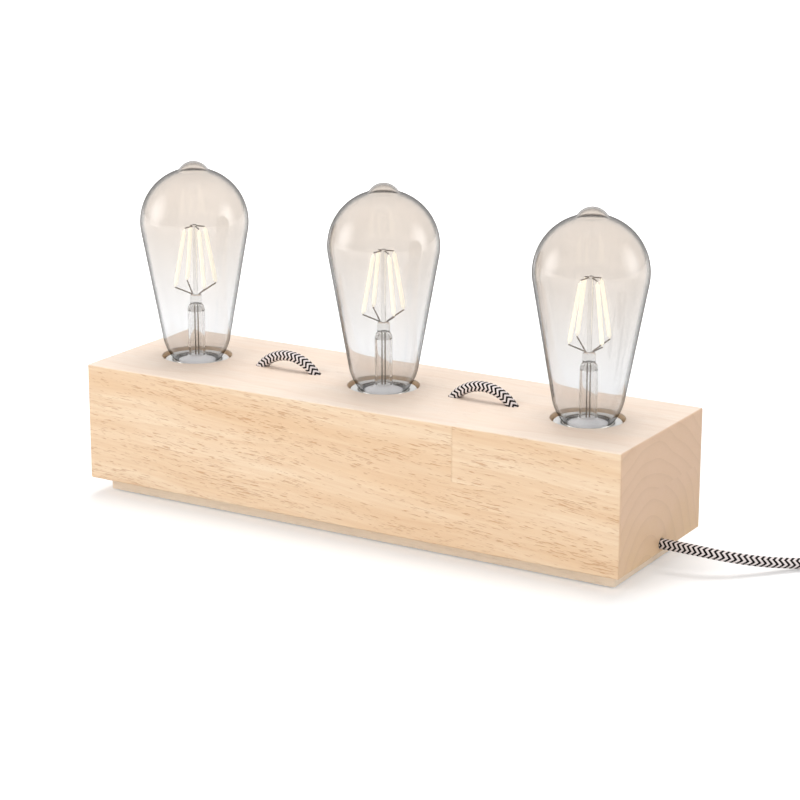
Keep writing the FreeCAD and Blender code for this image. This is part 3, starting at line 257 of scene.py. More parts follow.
def reflector(name, place):
    """A white board that only gloss can see, bright in the middle and fading outwards."""
    aim = (0.0, 0.0, 0.15)
    width = 1.3
    height = 1.5
    strength = 4.2
    material = bpy.data.materials.new(name)
    material.use_nodes = True
    tree = material.node_tree
    tree.nodes.clear()
    where = add(tree, "ShaderNodeTexCoord").outputs["Object"]
    flat = add(tree, "ShaderNodeVectorMath", {0: where, 1: (2 / width, 2 / height, 0.0)},
               operation="MULTIPLY").outputs[0]
    away = add(tree, "ShaderNodeVectorMath", {0: flat}, operation="LENGTH").outputs["Value"]
    fade = add(tree, "ShaderNodeMapRange", {0: away, 1: 1.0, 2: 0.0, 3: 0.0, 4: 1.0},
               interpolation_type="SMOOTHSTEP").outputs[0]
    shine = add(tree, "ShaderNodeEmission", {"Strength": maths(tree, "MULTIPLY", fade, strength)})
    clear = add(tree, "ShaderNodeBsdfTransparent")
    both = add(tree, "ShaderNodeAddShader", {0: shine.outputs[0], 1: clear.outputs[0]})
    add(tree, "ShaderNodeOutputMaterial", {"Surface": both.outputs[0]})
    half_w = width / 2
    half_h = height / 2
    mesh = bpy.data.meshes.new(name)
    mesh.from_pydata([(-half_w, -half_h, 0), (half_w, -half_h, 0), (half_w, half_h, 0),
                      (-half_w, half_h, 0)], [], [(0, 1, 2, 3)])
    mesh.materials.append(material)
    board = bpy.data.objects.new(name, mesh)
    bpy.context.collection.objects.link(board)
    board.location = place
    board.rotation_euler = (Vector(place) - Vector(aim)).to_track_quat("Z", "Y").to_euler()
    for kind in ("camera", "diffuse", "transmission", "shadow"):
        setattr(board, "visible_" + kind, False)


softbox("key", (-0.9, -1.7, 0.9), (0, 0, 0.08), 1.2, 1.2, 16.2)
softbox("top", (-0.2, 0.45, 1.8), (0, 0, 0.05), 1.0, 1.0, 20.0)
softbox("strip_right", (1.15, -0.35, 0.5), (0, 0, 0.14), 0.25, 0.9, 2.8)
reflector("board_left", (-1.05, -0.62, 0.45))
reflector("board_right", (1.12, 0.50, 0.45))
print("floor, world and", len(bpy.data.lights), "lamps")

# %% [markdown]
# ## The braided cords
# The cord is a sheathed two-core lead with a textile braid in black and white, 6 mm
# thick. A bevelled curve would give a plain tube. Here the cord's line is a smooth NURBS
# spline through the room, and the braid is a surface carried along it: strands stand up
# as low ridges, and the ridges run in zigzags round the cord as the strands cross.
# The spline is turned into points by Blender itself, so that the surface follows the
# spline's own smooth line.

# %% The cord's route, in millimetres from the model's own drawing
cord_diameter = 6.0
switch_height = 7.0
lead_points = [
    (175.0, 1.2, 15.0),
    (192.0, 1.2, 15.0),
    (209.0, 9.5, 11.2),
    (226.0, 26.0, 6.0),
    (243.0, 43.5, 3.0),
    (262.0, 55.0, 3.0),
    (281.0, 59.5, 3.6),
    (300.0, 59.5, switch_height),
    (314.0, 59.5, switch_height),
]
link_points = [
    (378.0, 59.5, switch_height),
    (391.0, 59.5, switch_height),
    (405.0, 59.5, 3.0),
    (418.0, 59.5, 3.0),
]
plug_height = 6.85
tail_points = [
    (470.0, 7.5, 9.5),
    (470.0, -6.0, 9.5),
    (465.5, -25.0, 4.8),
    (453.0, -40.0, 3.0),
    (433.0, -47.5, 3.0),
    (410.0, -47.5, plug_height),
    (391.0, -47.5, plug_height),
]


coil_centre = (424.0, 13.5)


def coil_points(per_turn=24):
    """Control points of the put-away coil: a spiral that winds in on the floor and out
    again on a second layer, one pitch higher. The points stand half a step off the ends
    and a little outside the turns, because a spline runs inside its control points."""
    centre = np.array(coil_centre)
    outer = 46.0
    pitch = 6.5
    turns = 6.25
    turn = (np.arange(int(turns * per_turn)) + 0.5) / per_turn
    inward = turn < turns / 2
    radius = outer - pitch * np.where(inward, turn, turns - turn)
    radius = radius / np.cos(np.pi / per_turn)
    climb = np.clip((turn - turns / 2) / 0.5 + 0.5, 0, 1)
    height = 3.0 + pitch * (1 - np.cos(np.pi * climb)) / 2
    angle = np.radians(90 - 360 * turn)
    return np.stack([centre[0] + radius * np.cos(angle),
                     centre[1] + radius * np.sin(angle), height], -1)


main_points = np.concatenate([link_points, coil_points(), tail_points])
print("lead", len(lead_points), "points, main cord", len(main_points), "points")


# %% The spline as points
def spline_line(name, points, resolution):
    """The smooth line of a NURBS spline with these control points (in mm), as Blender
    draws it: the points of its own mesh, in metres and in order."""
    data = bpy.data.curves.new(name, "CURVE")
    data.dimensions = "3D"
    spline = data.splines.new("NURBS")
    spline.points.add(len(points) - 1)
    four = np.c_[np.asarray(points, float) * MM, np.ones(len(points))]
    spline.points.foreach_set("co", four.ravel())
    spline.order_u = 3
    spline.use_endpoint_u = True
    spline.resolution_u = resolution
    thread = bpy.data.objects.new(name, data)
    bpy.context.collection.objects.link(thread)
    mesh = bpy.data.meshes.new_from_object(thread)
    line = np.empty(len(mesh.vertices) * 3)
    mesh.vertices.foreach_get("co", line)
    bpy.data.meshes.remove(mesh)
    bpy.data.objects.remove(thread)
    bpy.data.curves.remove(data)
    return line.reshape(-1, 3)


def resampled(line, stations):
    """Points of a line at given distances along it."""
    steps = np.linalg.norm(np.diff(line, axis=0), axis=1)
    along = np.concatenate([[0.0], np.cumsum(steps)])
    return np.stack([np.interp(stations, along, line[:, k]) for k in range(3)], -1)


def line_length(line):
    """A line's length."""
    return float(np.linalg.norm(np.diff(line, axis=0), axis=1).sum())


lead_line = spline_line("lead_thread", lead_points, 24)
main_line = spline_line("main_thread", main_points, 8)
print("lead %.1f mm, main cord %.1f mm" % (line_length(lead_line) / MM,
                                           line_length(main_line) / MM))


# %% The braid carried along a line
swing = 0.68
zigzags = 4.0


def triangle(t):
    """A zigzag between 0 and 1 with period 1."""
    return 1.0 - np.abs(2.0 * (t - np.floor(t)) - 1.0)


def braid(name, line, pitch, reference, spacing, sides=56, relief=0.22, body="base"):
    """A braided tube along a line. Round the cord, u goes once from 0 to 1; along it, v
    counts the stripes, whose pitch (mm) may be a function of the distance. The radius
    swells with each strand, v plus a zigzag of u, and dips where the zigzag turns."""
    total = line_length(line)
    stations = spacing(total)
    centre = resampled(line, stations)
    tangent = np.gradient(centre, stations, axis=0)
    tangent /= np.linalg.norm(tangent, axis=1)[:, None]
    side = np.cross(tangent, reference)
    side /= np.linalg.norm(side, axis=1)[:, None]
    up = np.cross(side, tangent)
    stripe = pitch(stations / MM)
    count = np.concatenate([[0.0], np.cumsum(np.diff(stations / MM)
                            * (1 / stripe[1:] + 1 / stripe[:-1]) / 2)])
    u = np.linspace(0, 1, sides + 1)
    angle = 2 * np.pi * u
    zigzag = swing * triangle(zigzags * u)
    strand = 2 * (count[:, None] + zigzag[None, :])
    ridge = np.sqrt(np.clip(1 - (2 * (strand - np.floor(strand)) - 1)**2, 0, 1))
    turning = 0.16
    valley = np.exp(-(triangle(2 * zigzags * u) / turning)**2)
    swell = (0.1 + 0.9 * ridge) * (1 - 0.4 * valley)
    radius = cord_diameter / 2 - relief + relief * swell
    radius[:, -1] = radius[:, 0]
    ring = (np.cos(angle)[None, :, None] * side[:, None, :]
            + np.sin(angle)[None, :, None] * up[:, None, :])
    points = centre[:, None, :] + radius[:, :, None] * MM * ring
    ends = [np.repeat(centre[:1], sides + 1, 0)[None], np.repeat(centre[-1:], sides + 1, 0)[None]]
    points = np.concatenate([ends[0], points, ends[1]])
    v = np.concatenate([count[:1], count, count[-1:]])
    uv = np.stack(np.broadcast_arrays(u[None, :], v[:, None]), -1)
    made = surface(name, points, uv, body)
    print(name, "%.1f mm," % (total / MM), len(made.data.polygons), "faces")
    return made


def even(step):
    """Stations one step (mm) apart along a line."""
    return lambda total: np.linspace(0, total, int(total / MM / step) + 1)


UP = np.array([0.0, 0.0, 1.0])
lead = braid("braid_lead", lead_line, lambda s: 2.7 + 0.8 * np.clip((s - 20) / 25, 0, 1),
             UP, even(0.26))
main = braid("braid_main", main_line, lambda s: 3.5 + 0 * s, UP, even(0.52), sides=28,
             relief=0.15)
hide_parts("cord_lead")
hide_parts("cord_link", "cord_coil", "cord_tail")


# %% The arches between the holders
def arch_line(x):
    """The line of one arch in the plane y = 0: up a straight leg, out of the hole on an
    arc that leans outwards, over on a large arc and down again, all tangent."""
    span = 36.8
    rise = 8.3
    entry = 15.0
    top = 80.0
    foot = 24.5
    half = span / 2
    big = (half**2 + rise**2) / (2 * rise)
    lean = math.asin(half / big)
    bend = math.pi / 2 - lean
    leg = half + entry * (1 - math.cos(bend))
    a = np.linspace(0, bend, 30)
    leg_z = np.linspace(foot, top - entry * math.sin(bend), 12)
    rise_x = -(leg - entry) - entry * np.cos(a)
    rise_z = top - entry * math.sin(bend) + entry * np.sin(a)
    b = np.linspace(-lean, lean, 160)
    over_x = big * np.sin(b)
    over_z = top + rise - big * (1 - np.cos(b))
    half_x = np.concatenate([np.full(11, -leg), rise_x, over_x[1:80]])
    half_z = np.concatenate([leg_z[:-1], rise_z, over_z[1:80]])
    xs = np.concatenate([half_x, -half_x[::-1]])
    zs = np.concatenate([half_z, half_z[::-1]])
    return np.stack([x + xs, 0 * xs, zs], -1) * MM


def fine_middle(fine, coarse, reach):
    """Stations that are fine within a reach (mm) of the line's middle, else coarse."""
    def stations(total):
        middle = total / 2
        edge = reach * MM
        low = np.arange(0, middle - edge, coarse * MM)
        centre = np.arange(middle - edge, middle + edge, fine * MM)
        high = np.linspace(middle + edge, total, len(low))
        return np.concatenate([low, centre, high])
    return stations


BACK = np.array([0.0, 1.0, 0.0])
loop_x = {"left": -66.75, "right": 63.95}
for side, x in loop_x.items():
    arch = braid("braid_loop_" + side, arch_line(x), lambda s: 2.6 + 0 * s, BACK,
                 fine_middle(0.24, 1.2, 27.0), sides=64)
    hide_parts("cord_loop_" + side)
inside_line = np.array([[147.0, 1.2, 15.0], [175.0, 1.2, 15.0]]) * MM
inside = braid("braid_inside", inside_line, lambda s: 2.7 + 0 * s, UP, even(0.6), sides=28)
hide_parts("cord_inside")

# %% [markdown]
# ## What the cords are
# The picture shows only 79 mm of the mains cord. Such lamps have a lead of about 1.8 m
# with a switch and a plug, so the rest is put away as for storage: a neat coil just
# outside the view, held by a tie, with the plug beside it.


# %% The coil's tie
def tie_band(angle, inner, outer, low, high, width, thick):
    """A flat strap round the coil's turns at one angle: a rounded rectangle in the
    upright plane through the coil's axis, swept over the strap's width."""
    corner = 2.4
    t = np.linspace(0, np.pi / 2, 9)
    cx = np.array([outer - corner, inner + corner, inner + corner, outer - corner])
    cz = np.array([high - corner, high - corner, low + corner, low + corner])
    start = np.array([0, 1, 2, 3]) * np.pi / 2
    a = (start[:, None] + t[None, :]).ravel()
    px = np.repeat(cx, 9) + corner * np.cos(a)
    pz = np.repeat(cz, 9) + corner * np.sin(a)
    px = np.append(px, px[0])
    pz = np.append(pz, pz[0])
    nx = np.append(np.cos(a), np.cos(a[0]))
    nz = np.append(np.sin(a), np.sin(a[0]))
    half = width / 2
    across = np.array([-half, half, half, -half, -half])
    lift = np.array([thick, thick, 0, 0, thick])
    r = px[None, :] + lift[:, None] * nx[None, :]
    z = np.maximum(pz[None, :] + lift[:, None] * nz[None, :], 0.0)
    way = np.array([math.cos(angle), math.sin(angle)])
    cross = np.array([-way[1], way[0]])
    x = coil_centre[0] + r * way[0] + across[:, None] * cross[0]
    y = coil_centre[1] + r * way[1] + across[:, None] * cross[1]
    return np.stack([x, y, z], -1) * MM


coil_tie = surface("coil_tie", tie_band(math.radians(-60), inner=21.0, outer=48.4, low=0.2,
                                        high=12.2, width=9.0, thick=0.7))

# %% [markdown]
# ## The bulbs' glass
# Each bulb is blown glass with a smoky tint, about 1 mm thick: a sphere on a slender cone,
# drawn in to the neck, with the sealed tip on top. The frame's glass is nearly the same,
# but in facets that show in reflections, and with a slimmer tip than the real bulbs have.
# A spun curve would do, but here the outline is worked out from its arcs, each tangent to
# the next, once for the outside and once moved in by the wall, so that light really
# passes through a wall.


# %% The bulb's outline
def arc(centre_r, centre_z, radius, start, end, count):
    """Points (r, z) on a circle between two angles."""
    angle = np.linspace(start, end, count)
    return np.stack([centre_r + radius * np.cos(angle), centre_z + radius * np.sin(angle)], -1)


rim = 78.0
neck_foot = rim - 7.0
neck_radius = 12.8
neck_at_rim = 13.8
glass_wall = 1.0


def bulb_outline(inset):
    """Radius and height (mm) of the glass from the neck's foot to the tip's pole, moved
    inwards by inset: neck, the hollow-looking shoulder arc, the cone, the sphere, a
    blending arc bent the other way, and the small sphere of the tip."""
    taper = math.radians(10.1)
    big = 32.0
    centre = rim + 83.5
    drop = 13.0
    cone_top = centre - big * math.sin(taper)
    cone_foot = big * math.cos(taper) - (cone_top - rim - drop) * math.tan(taper)
    slope = 2 * math.atan2(cone_foot - neck_at_rim, drop) - taper
    turn = drop / (math.sin(slope) - math.sin(taper))
    turn_r = cone_foot - turn * math.cos(taper)
    turn_z = rim + drop + turn * math.sin(taper)
    neck = neck_radius - inset
    neck_slope = math.acos((neck - turn_r) / (turn - inset))
    small = 10.0
    fillet = 3.6
    tip = rim + 119.5 - small
    far = big + fillet
    near = small + fillet
    gap = tip - centre
    blend_z = (far**2 - near**2 + gap**2) / (2 * gap)
    blend_r = math.sqrt(far**2 - blend_z**2)
    body_angle = math.atan2(blend_z, blend_r)
    tip_angle = math.atan2(blend_z - gap, blend_r)
    return np.concatenate([
        [[neck, neck_foot], [neck, neck_foot + 1.0]],
        arc(turn_r, turn_z, turn - inset, -neck_slope, -taper, 24),
        arc(0, centre, big - inset, -taper, body_angle, 80),
        arc(blend_r, centre + blend_z, fillet + inset, body_angle + math.pi,
            tip_angle + math.pi, 14)[1:],
        arc(0, tip, small - inset, tip_angle, math.pi / 2, 14)[1:]])


socket_x = {"left": -132.1, "middle": -1.4, "right": 129.3}
outside = bulb_outline(0.0)
inside = bulb_outline(glass_wall)[::-1]
wall = np.concatenate([outside, inside, outside[:1]])
for side, x in socket_x.items():
    glass = surface("glass_" + side, turned(wall[:, 0], wall[:, 1], 128, x) * MM,
                    body="bulb_" + side, gap_after=len(outside) - 1)
    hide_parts("bulb_glass_" + side)
print("three bulbs,", len(glass.data.polygons), "faces each")

# %% [markdown]
# ## The screw caps and what fills them
# The cap is rolled from thin nickel-plated sheet: a collar round the neck, three turns of
# the round lamp thread, and a cone at the foot. A screw modifier would make a thread with
# open ends. As one surface the thread is a wave that climbs one pitch each turn, and fades
# in and out where the rolling starts and stops. Pale cement fills the collar round the
# neck, and the driver's potting shows through the glass as a grey pool that rises to the
# stem.


# %% Threaded caps and drivers
def cap_surface(x, columns=96):
    """The cap's wall: a plain outline with a round thread rolled into it. The thread is
    the cosine of height over pitch less the angle, faded at both ends."""
    pitch = 3.63
    depth = 0.95
    sheet = 0.35
    fade_over = 1.6
    cement_wall = 1.0
    height = np.concatenate([np.linspace(78, 74.2, 9), np.linspace(74.1, 57.1, 150),
                             np.linspace(56.9, 54.5, 7)])
    radius = np.interp(height, [54.5, 57.1, 74.2, 75.6, 78.0], [10.5, 13.2, 13.2, 14.2, 14.2])
    angle = np.linspace(0, 2 * np.pi, columns + 1)
    fade = np.clip((height - 57.6) / fade_over, 0, 1)
    fade = fade * np.clip((71.0 - height) / fade_over, 0, 1)
    wave = 0.5 - 0.5 * np.cos(2 * np.pi * height[:, None] / pitch - angle[None, :])
    outer = radius[:, None] - depth * fade[:, None] * wave
    cement = np.interp(height, [70.6, 71.0, 77.6, 78.0], [0, cement_wall, cement_wall, 0.6])
    inner = outer - sheet - cement[:, None]
    grid = np.concatenate([outer, inner[::-1], outer[:1]])
    level = np.concatenate([height, height[::-1], height[:1]])[:, None]
    return turned(grid, level + 0 * grid, columns, x) * MM


driver_r = [0, 5.2, 6.5, 8.5, 10.6, 11.3, 11.6, 11.6, 11.1, 0]
driver_z = [80.4, 80.4, 78.8, 77.8, 77.3, 77.0, 76.3, 58.9, 58.0, 58.0]
for side, x in socket_x.items():
    cap = surface("cap_" + side, cap_surface(x), body="bulb_" + side, flip=True)
    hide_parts("bulb_cap_" + side)
    driver = surface("driver_" + side, turned(driver_r, driver_z, 64, x) * MM,
                     body="bulb_" + side, flip=True)
    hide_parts("bulb_driver_" + side)
print("caps of", len(cap.data.polygons), "faces")

# %% [markdown]
# ## Four filaments in each bulb
# An LED filament is a thin strip of tiny chips in a stick of pale yellow phosphor, with a
# metal tongue at each end that is welded to a wire. A cylinder would show no end. Each
# stick here is a tube whose radius follows a profile: tongue, round shoulder, coat.


# %% Filament sticks
def stick(foot, top, columns=20):
    """A tube from foot to top (mm): v runs along it and sets its radius."""
    v = np.array([0, 0, 0.03, 0.034, 0.042, 0.055, 0.945, 0.958, 0.966, 0.97, 1, 1])
    radius = np.array([0, 0.4, 0.4, 0.8, 1.05, 1.18, 1.18, 1.05, 0.8, 0.4, 0.4, 0])
    foot = np.asarray(foot, float)
    way = np.asarray(top, float) - foot
    side = np.cross(way, [0, 0, 1.0])
    side /= np.linalg.norm(side)
    other = np.cross(way, side)
    other /= np.linalg.norm(other)
    angle = np.linspace(0, 2 * np.pi, columns + 1)
    ring = (np.cos(angle)[:, None] * side + np.sin(angle)[:, None] * other)
    points = foot + v[:, None, None] * way + radius[:, None, None] * ring[None]
    uv = np.stack(np.broadcast_arrays(angle[None, :] / (2 * np.pi), v[:, None]), -1)
    return points * MM, uv


def joined(name, parts, body):
    """One object from several grids of the same size."""
    made = [surface(name + "_part", points, uv, body) for points, uv in parts]
    mesh = bpy.data.meshes.new(name)
    work = bmesh.new()
    for piece in made:
        work.from_mesh(piece.data)
    work.to_mesh(mesh)
    work.free()
    mesh.shade_smooth()
    whole = bpy.data.objects.new(name, mesh)
    bpy.context.collection.objects.link(whole)
    for piece in made:
        data = piece.data
        bpy.data.objects.remove(piece)
        bpy.data.meshes.remove(data)
    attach(whole, body)
    return whole


for side, x in socket_x.items():
    parts = []
    for way in np.radians(58.0 + 90.0 * np.arange(4)):
        out = np.array([math.cos(way), math.sin(way)])
        foot = (x + 13.0 * out[0], 13.0 * out[1], rim + 45.5)
        top = (x + 6.4 * out[0], 6.4 * out[1], rim + 79.5)
        parts.append(stick(foot, top))
    sticks = joined("filaments_" + side, parts, "bulb_" + side)
    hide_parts("bulb_filaments_" + side)
print("filaments made")

# %% [markdown]
# ## Materials: shared effects
# Nothing on a real object is one flat colour. Two effects serve most finishes here, so
# they are shader groups, built once: slow blotches with a fine grain, and the figure of
# hardwood. A picture of wood would stretch at the corners and end at the edges. A figure
# worked out in space runs through the block, so front, top and end belong together.


# %% Texture helpers and the surface group
def paint(red, green, blue):
    """A colour written as a screen shows it, turned into Blender's linear light."""
    screen = np.array([red, green, blue]) / 255.0
    linear = np.where(screen <= 0.04045, screen / 12.92, ((screen + 0.055) / 1.055)**2.4)
    return (*linear.tolist(), 1.0)


def noise(tree, place, size, detail=2.0, shift=(0.0, 0.0, 0.0)):
    """Noise with features about `size` mm along X, Y and Z."""
    scaled = add(tree, "ShaderNodeMapping",
                 {"Vector": place, "Location": shift, "Scale": tuple(1 / s for s in size)})
    made = add(tree, "ShaderNodeTexNoise",
               {"Vector": scaled.outputs[0], "Scale": 1.0, "Detail": detail})
    return made.outputs[0]


def group_of(name, inputs, outputs):
    """An empty shader group with its sockets; returns it with its input and output."""
    tree = bpy.data.node_groups.new(name, "ShaderNodeTree")
    for socket, kind in inputs:
        tree.interface.new_socket(socket, in_out="INPUT", socket_type="NodeSocket" + kind)
    for socket in outputs:
        tree.interface.new_socket(socket, in_out="OUTPUT", socket_type="NodeSocketFloat")
    return tree, add(tree, "NodeGroupInput").outputs, add(tree, "NodeGroupOutput")


life_group, given, result = group_of(
    "surface_life", [("Place", "Vector")], ["Blotch", "Grain"])
slow = noise(life_group, given["Place"], (14, 14, 14), 3)
fine = noise(life_group, given["Place"], (0.5, 0.5, 0.5), 2, (7, 3, 1))
life_group.links.new(spread(life_group, slow, 0.3, 0.7), result.inputs["Blotch"])
life_group.links.new(spread(life_group, fine, 0.3, 0.7), result.inputs["Grain"])


def new_material(name):
    """A material, its tree, its Principled shader, and Object coordinates in mm."""
    material = bpy.data.materials.new(name)
    material.use_nodes = True
    tree = material.node_tree
    where = add(tree, "ShaderNodeTexCoord").outputs["Object"]
    place = add(tree, "ShaderNodeVectorMath", {0: where, "Scale": 1000.0}, operation="SCALE")
    return material, tree, tree.nodes["Principled BSDF"], place.outputs[0]


def use_group(tree, group, values):
    """A node of a group with its inputs filled; returns its outputs."""
    made = tree.nodes.new("ShaderNodeGroup")
    made.node_tree = group
    for key, value in values.items():
        if isinstance(value, bpy.types.NodeSocket):
            tree.links.new(value, made.inputs[key])
        else:
            made.inputs[key].default_value = value
    return made.outputs


def bump(tree, shader, height, depth):
    """Bump from a height between 0 and 1 that stands for `depth` mm."""
    made = add(tree, "ShaderNodeBump", {"Height": height, "Distance": depth * MM})
    tree.links.new(made.outputs[0], shader.inputs["Normal"])


def hard_finish(name, colour, other, rough, metallic=0.0, depth=0.02):
    """A hard surface: two near colours in slow blotches, and a fine grain in its
    roughness and relief."""
    material, tree, shader, place = new_material(name)
    life = use_group(tree, life_group, {"Place": place})
    tree.links.new(blend(tree, life["Blotch"], colour, other), shader.inputs["Base Color"])
    tree.links.new(spread(tree, life["Grain"], 0, 1, rough * 0.8, rough * 1.2),
                   shader.inputs["Roughness"])
    shader.inputs["Metallic"].default_value = metallic
    bump(tree, shader, life["Grain"], depth)
    return material


print("material helpers ready")

# %% [markdown]
# ## Pale hardwood
# The block is rubberwood under a clear matt finish, glued up from pieces. Its vessels show
# as short fine dashes along the front, and its growth rings as soft arches on the end. The
# top is painted paler than the sides, a painted light for the light from above. The rings are
# cylinders along X round a heart low in the block, and the dashes are noise drawn out along
# the grain.

# %% The wood's figure
wood_group, given, result = group_of(
    "hardwood", [("Place", "Vector"), ("Heart", "Vector"), ("Lean", "Float")],
    ["Rings", "Bands", "Streaks", "Dashes"])
tree = wood_group
wander = maths(tree, "MULTIPLY_ADD", noise(tree, given["Place"], (120, 45, 45), 1), 16, -8)
split = add(tree, "ShaderNodeSeparateXYZ", {0: given["Place"]}).outputs
tilted = maths(tree, "MULTIPLY_ADD", split["X"], given["Lean"], split["Z"])
tilted = maths(tree, "MULTIPLY_ADD", wander, 0.5, tilted)
grain = add(tree, "ShaderNodeCombineXYZ", {0: split["X"], 1: split["Y"], 2: tilted}).outputs[0]
offset = add(tree, "ShaderNodeVectorMath", {0: given["Place"], 1: given["Heart"]},
             operation="SUBTRACT").outputs[0]
flat = add(tree, "ShaderNodeVectorMath", {0: offset, 1: (0.0, 1.0, 1.0)},
           operation="MULTIPLY").outputs[0]
reach_out = add(tree, "ShaderNodeVectorMath", {0: flat}, operation="LENGTH").outputs["Value"]
ring = maths(tree, "FRACT", maths(tree, "DIVIDE", maths(tree, "ADD", reach_out, wander), 8.2))
bands = noise(tree, grain, (170, 20, 15), 2)
streaks = noise(tree, grain, (34, 2.2, 1.5), 3)
vessels = noise(tree, grain, (6.5, 0.55, 0.45), 1)
clusters = noise(tree, grain, (46, 7, 6), 2, (3, 9, 4))
threshold = maths(tree, "MULTIPLY_ADD", clusters, -0.34, 0.81)
over = maths(tree, "SUBTRACT", vessels, threshold)
tree.links.new(maths(tree, "POWER", ring, 4.0), result.inputs["Rings"])
tree.links.new(spread(tree, bands, 0.3, 0.7), result.inputs["Bands"])
tree.links.new(spread(tree, streaks, 0.35, 0.7), result.inputs["Streaks"])
tree.links.new(spread(tree, over, 0.0, 0.07), result.inputs["Dashes"])
print("hardwood group of", len(tree.nodes), "nodes")


# %% Wood of the block and the base
def layered(tree, ground, *layers):
    """A ground colour with layers over it, each a mask, its strength and its colour."""
    for mask, amount, colour in layers:
        ground = blend(tree, maths(tree, "MULTIPLY", mask, amount), ground, colour)
    return ground


def wood(name, heart, lean, end_at, top_at, joint=None, painted_light_lift=0.0):
    """Hardwood with end grain beyond end_at (mm), and a top painted paler above top_at: a
    painted light for the light from above. At the joint, given as X and its foot's Z, another
    board starts with a glue line. The last argument turns the whole colour lighter, a painted
    light against the shade on the piece."""
    material, tree, shader, place = new_material(name)
    split = add(tree, "ShaderNodeSeparateXYZ", {0: place}).outputs
    seam = 0.0
    if joint:
        beyond = spread(tree, split["X"], joint[0] - 0.05, joint[0] + 0.05)
        above = spread(tree, split["Z"], joint[1] - 0.05, joint[1] + 0.05)
        other = maths(tree, "MULTIPLY", beyond, above)
        shift = add(tree, "ShaderNodeCombineXYZ", {0: maths(tree, "MULTIPLY", other, 400.0)})
        place = add(tree, "ShaderNodeVectorMath", {0: place, 1: shift.outputs[0]},
                    operation="ADD").outputs[0]
        away = maths(tree, "ABSOLUTE", maths(tree, "SUBTRACT", split["X"], joint[0]))
        seam = maths(tree, "MULTIPLY", spread(tree, away, 0.9, 0.1), above)
    figure = use_group(tree, wood_group, {"Place": place, "Heart": heart, "Lean": lean})
    # Painted light: above this height the top takes lighter, greyer colours than the sides, for the
    # light that falls on it from above.
    top = spread(tree, split["Z"], top_at - 0.9, top_at - 0.3)
    end = spread(tree, maths(tree, "ABSOLUTE", split["X"]), end_at - 0.8, end_at - 0.2)
    side = layered(tree, blend(tree, figure["Bands"], paint(247, 223, 193), paint(238, 205, 168)),
                   (figure["Streaks"], 0.42, paint(226, 186, 146)),
                   (figure["Rings"], 0.22, paint(222, 180, 140)),
                   (figure["Dashes"], 0.55, paint(200, 142, 96)),
                   (seam, 0.22, paint(205, 165, 120)))
    # The top's lighter colours: a painted light.
    lit_top_colour = layered(tree, blend(tree, figure["Bands"], paint(240, 224, 209), paint(243, 222, 204)),
                   (figure["Streaks"], 0.30, paint(232, 208, 186)),
                   (figure["Rings"], 0.30, paint(226, 200, 180)))
    low = spread(tree, split["Z"], 10.0, 45.0)
    cut = layered(tree, blend(tree, low, paint(222, 188, 146), paint(222, 188, 158)),
                  (figure["Bands"], 0.50, paint(226, 192, 164)),
                  (figure["Rings"], 0.28, paint(200, 164, 132)))
    colour = blend(tree, top, side, lit_top_colour)
    colour = blend(tree, end, colour, cut)
    # Painted light: the whole colour is lifted towards cream, against the shade on the piece.
    colour = blend(tree, painted_light_lift, colour, paint(255, 240, 220))
    tree.links.new(colour, shader.inputs["Base Color"])
    tree.links.new(spread(tree, figure["Streaks"], 0, 1, 0.46, 0.58),
                   shader.inputs["Roughness"])
    shader.inputs["Specular IOR Level"].default_value = 0.35
    relief = maths(tree, "MULTIPLY_ADD", figure["Dashes"], -0.8,
                   maths(tree, "MULTIPLY", figure["Streaks"], 0.25))
    bump(tree, shader, relief, 0.12)
    return material


block_wood = wood("block_wood", (0.0, -18.0, 2.0), 0.07, 175.0, 80.0, (73.0, 48.0))
# The base is painted much lighter: a painted light for its front, which lies in the shade of the
# block's overhang.
base_wood = wood("base_wood", (0.0, 30.0, -40.0), 0.04, 167.5, 30.0, painted_light_lift=0.8)
print("wood ready")

# %% [markdown]
# ## Glass, cord and the small parts
# The glass bends light (index 1.5) and is tinted in its depth, so the rim, where one looks
# along the wall, comes out darker. In a white room the rim's own gloss hides most of that,
# so a facing term paints shade there: a painted dark rim. Higher up, the glass's colour
# turns warm, a painted reflection of the surroundings. Clear glass would throw a hard dark
# shadow in a path tracer, so shadow rays pass it with a light tint. The braid reads the
# cord's own UV map: stripes counted along it are pushed forward and back by a zigzag round it.


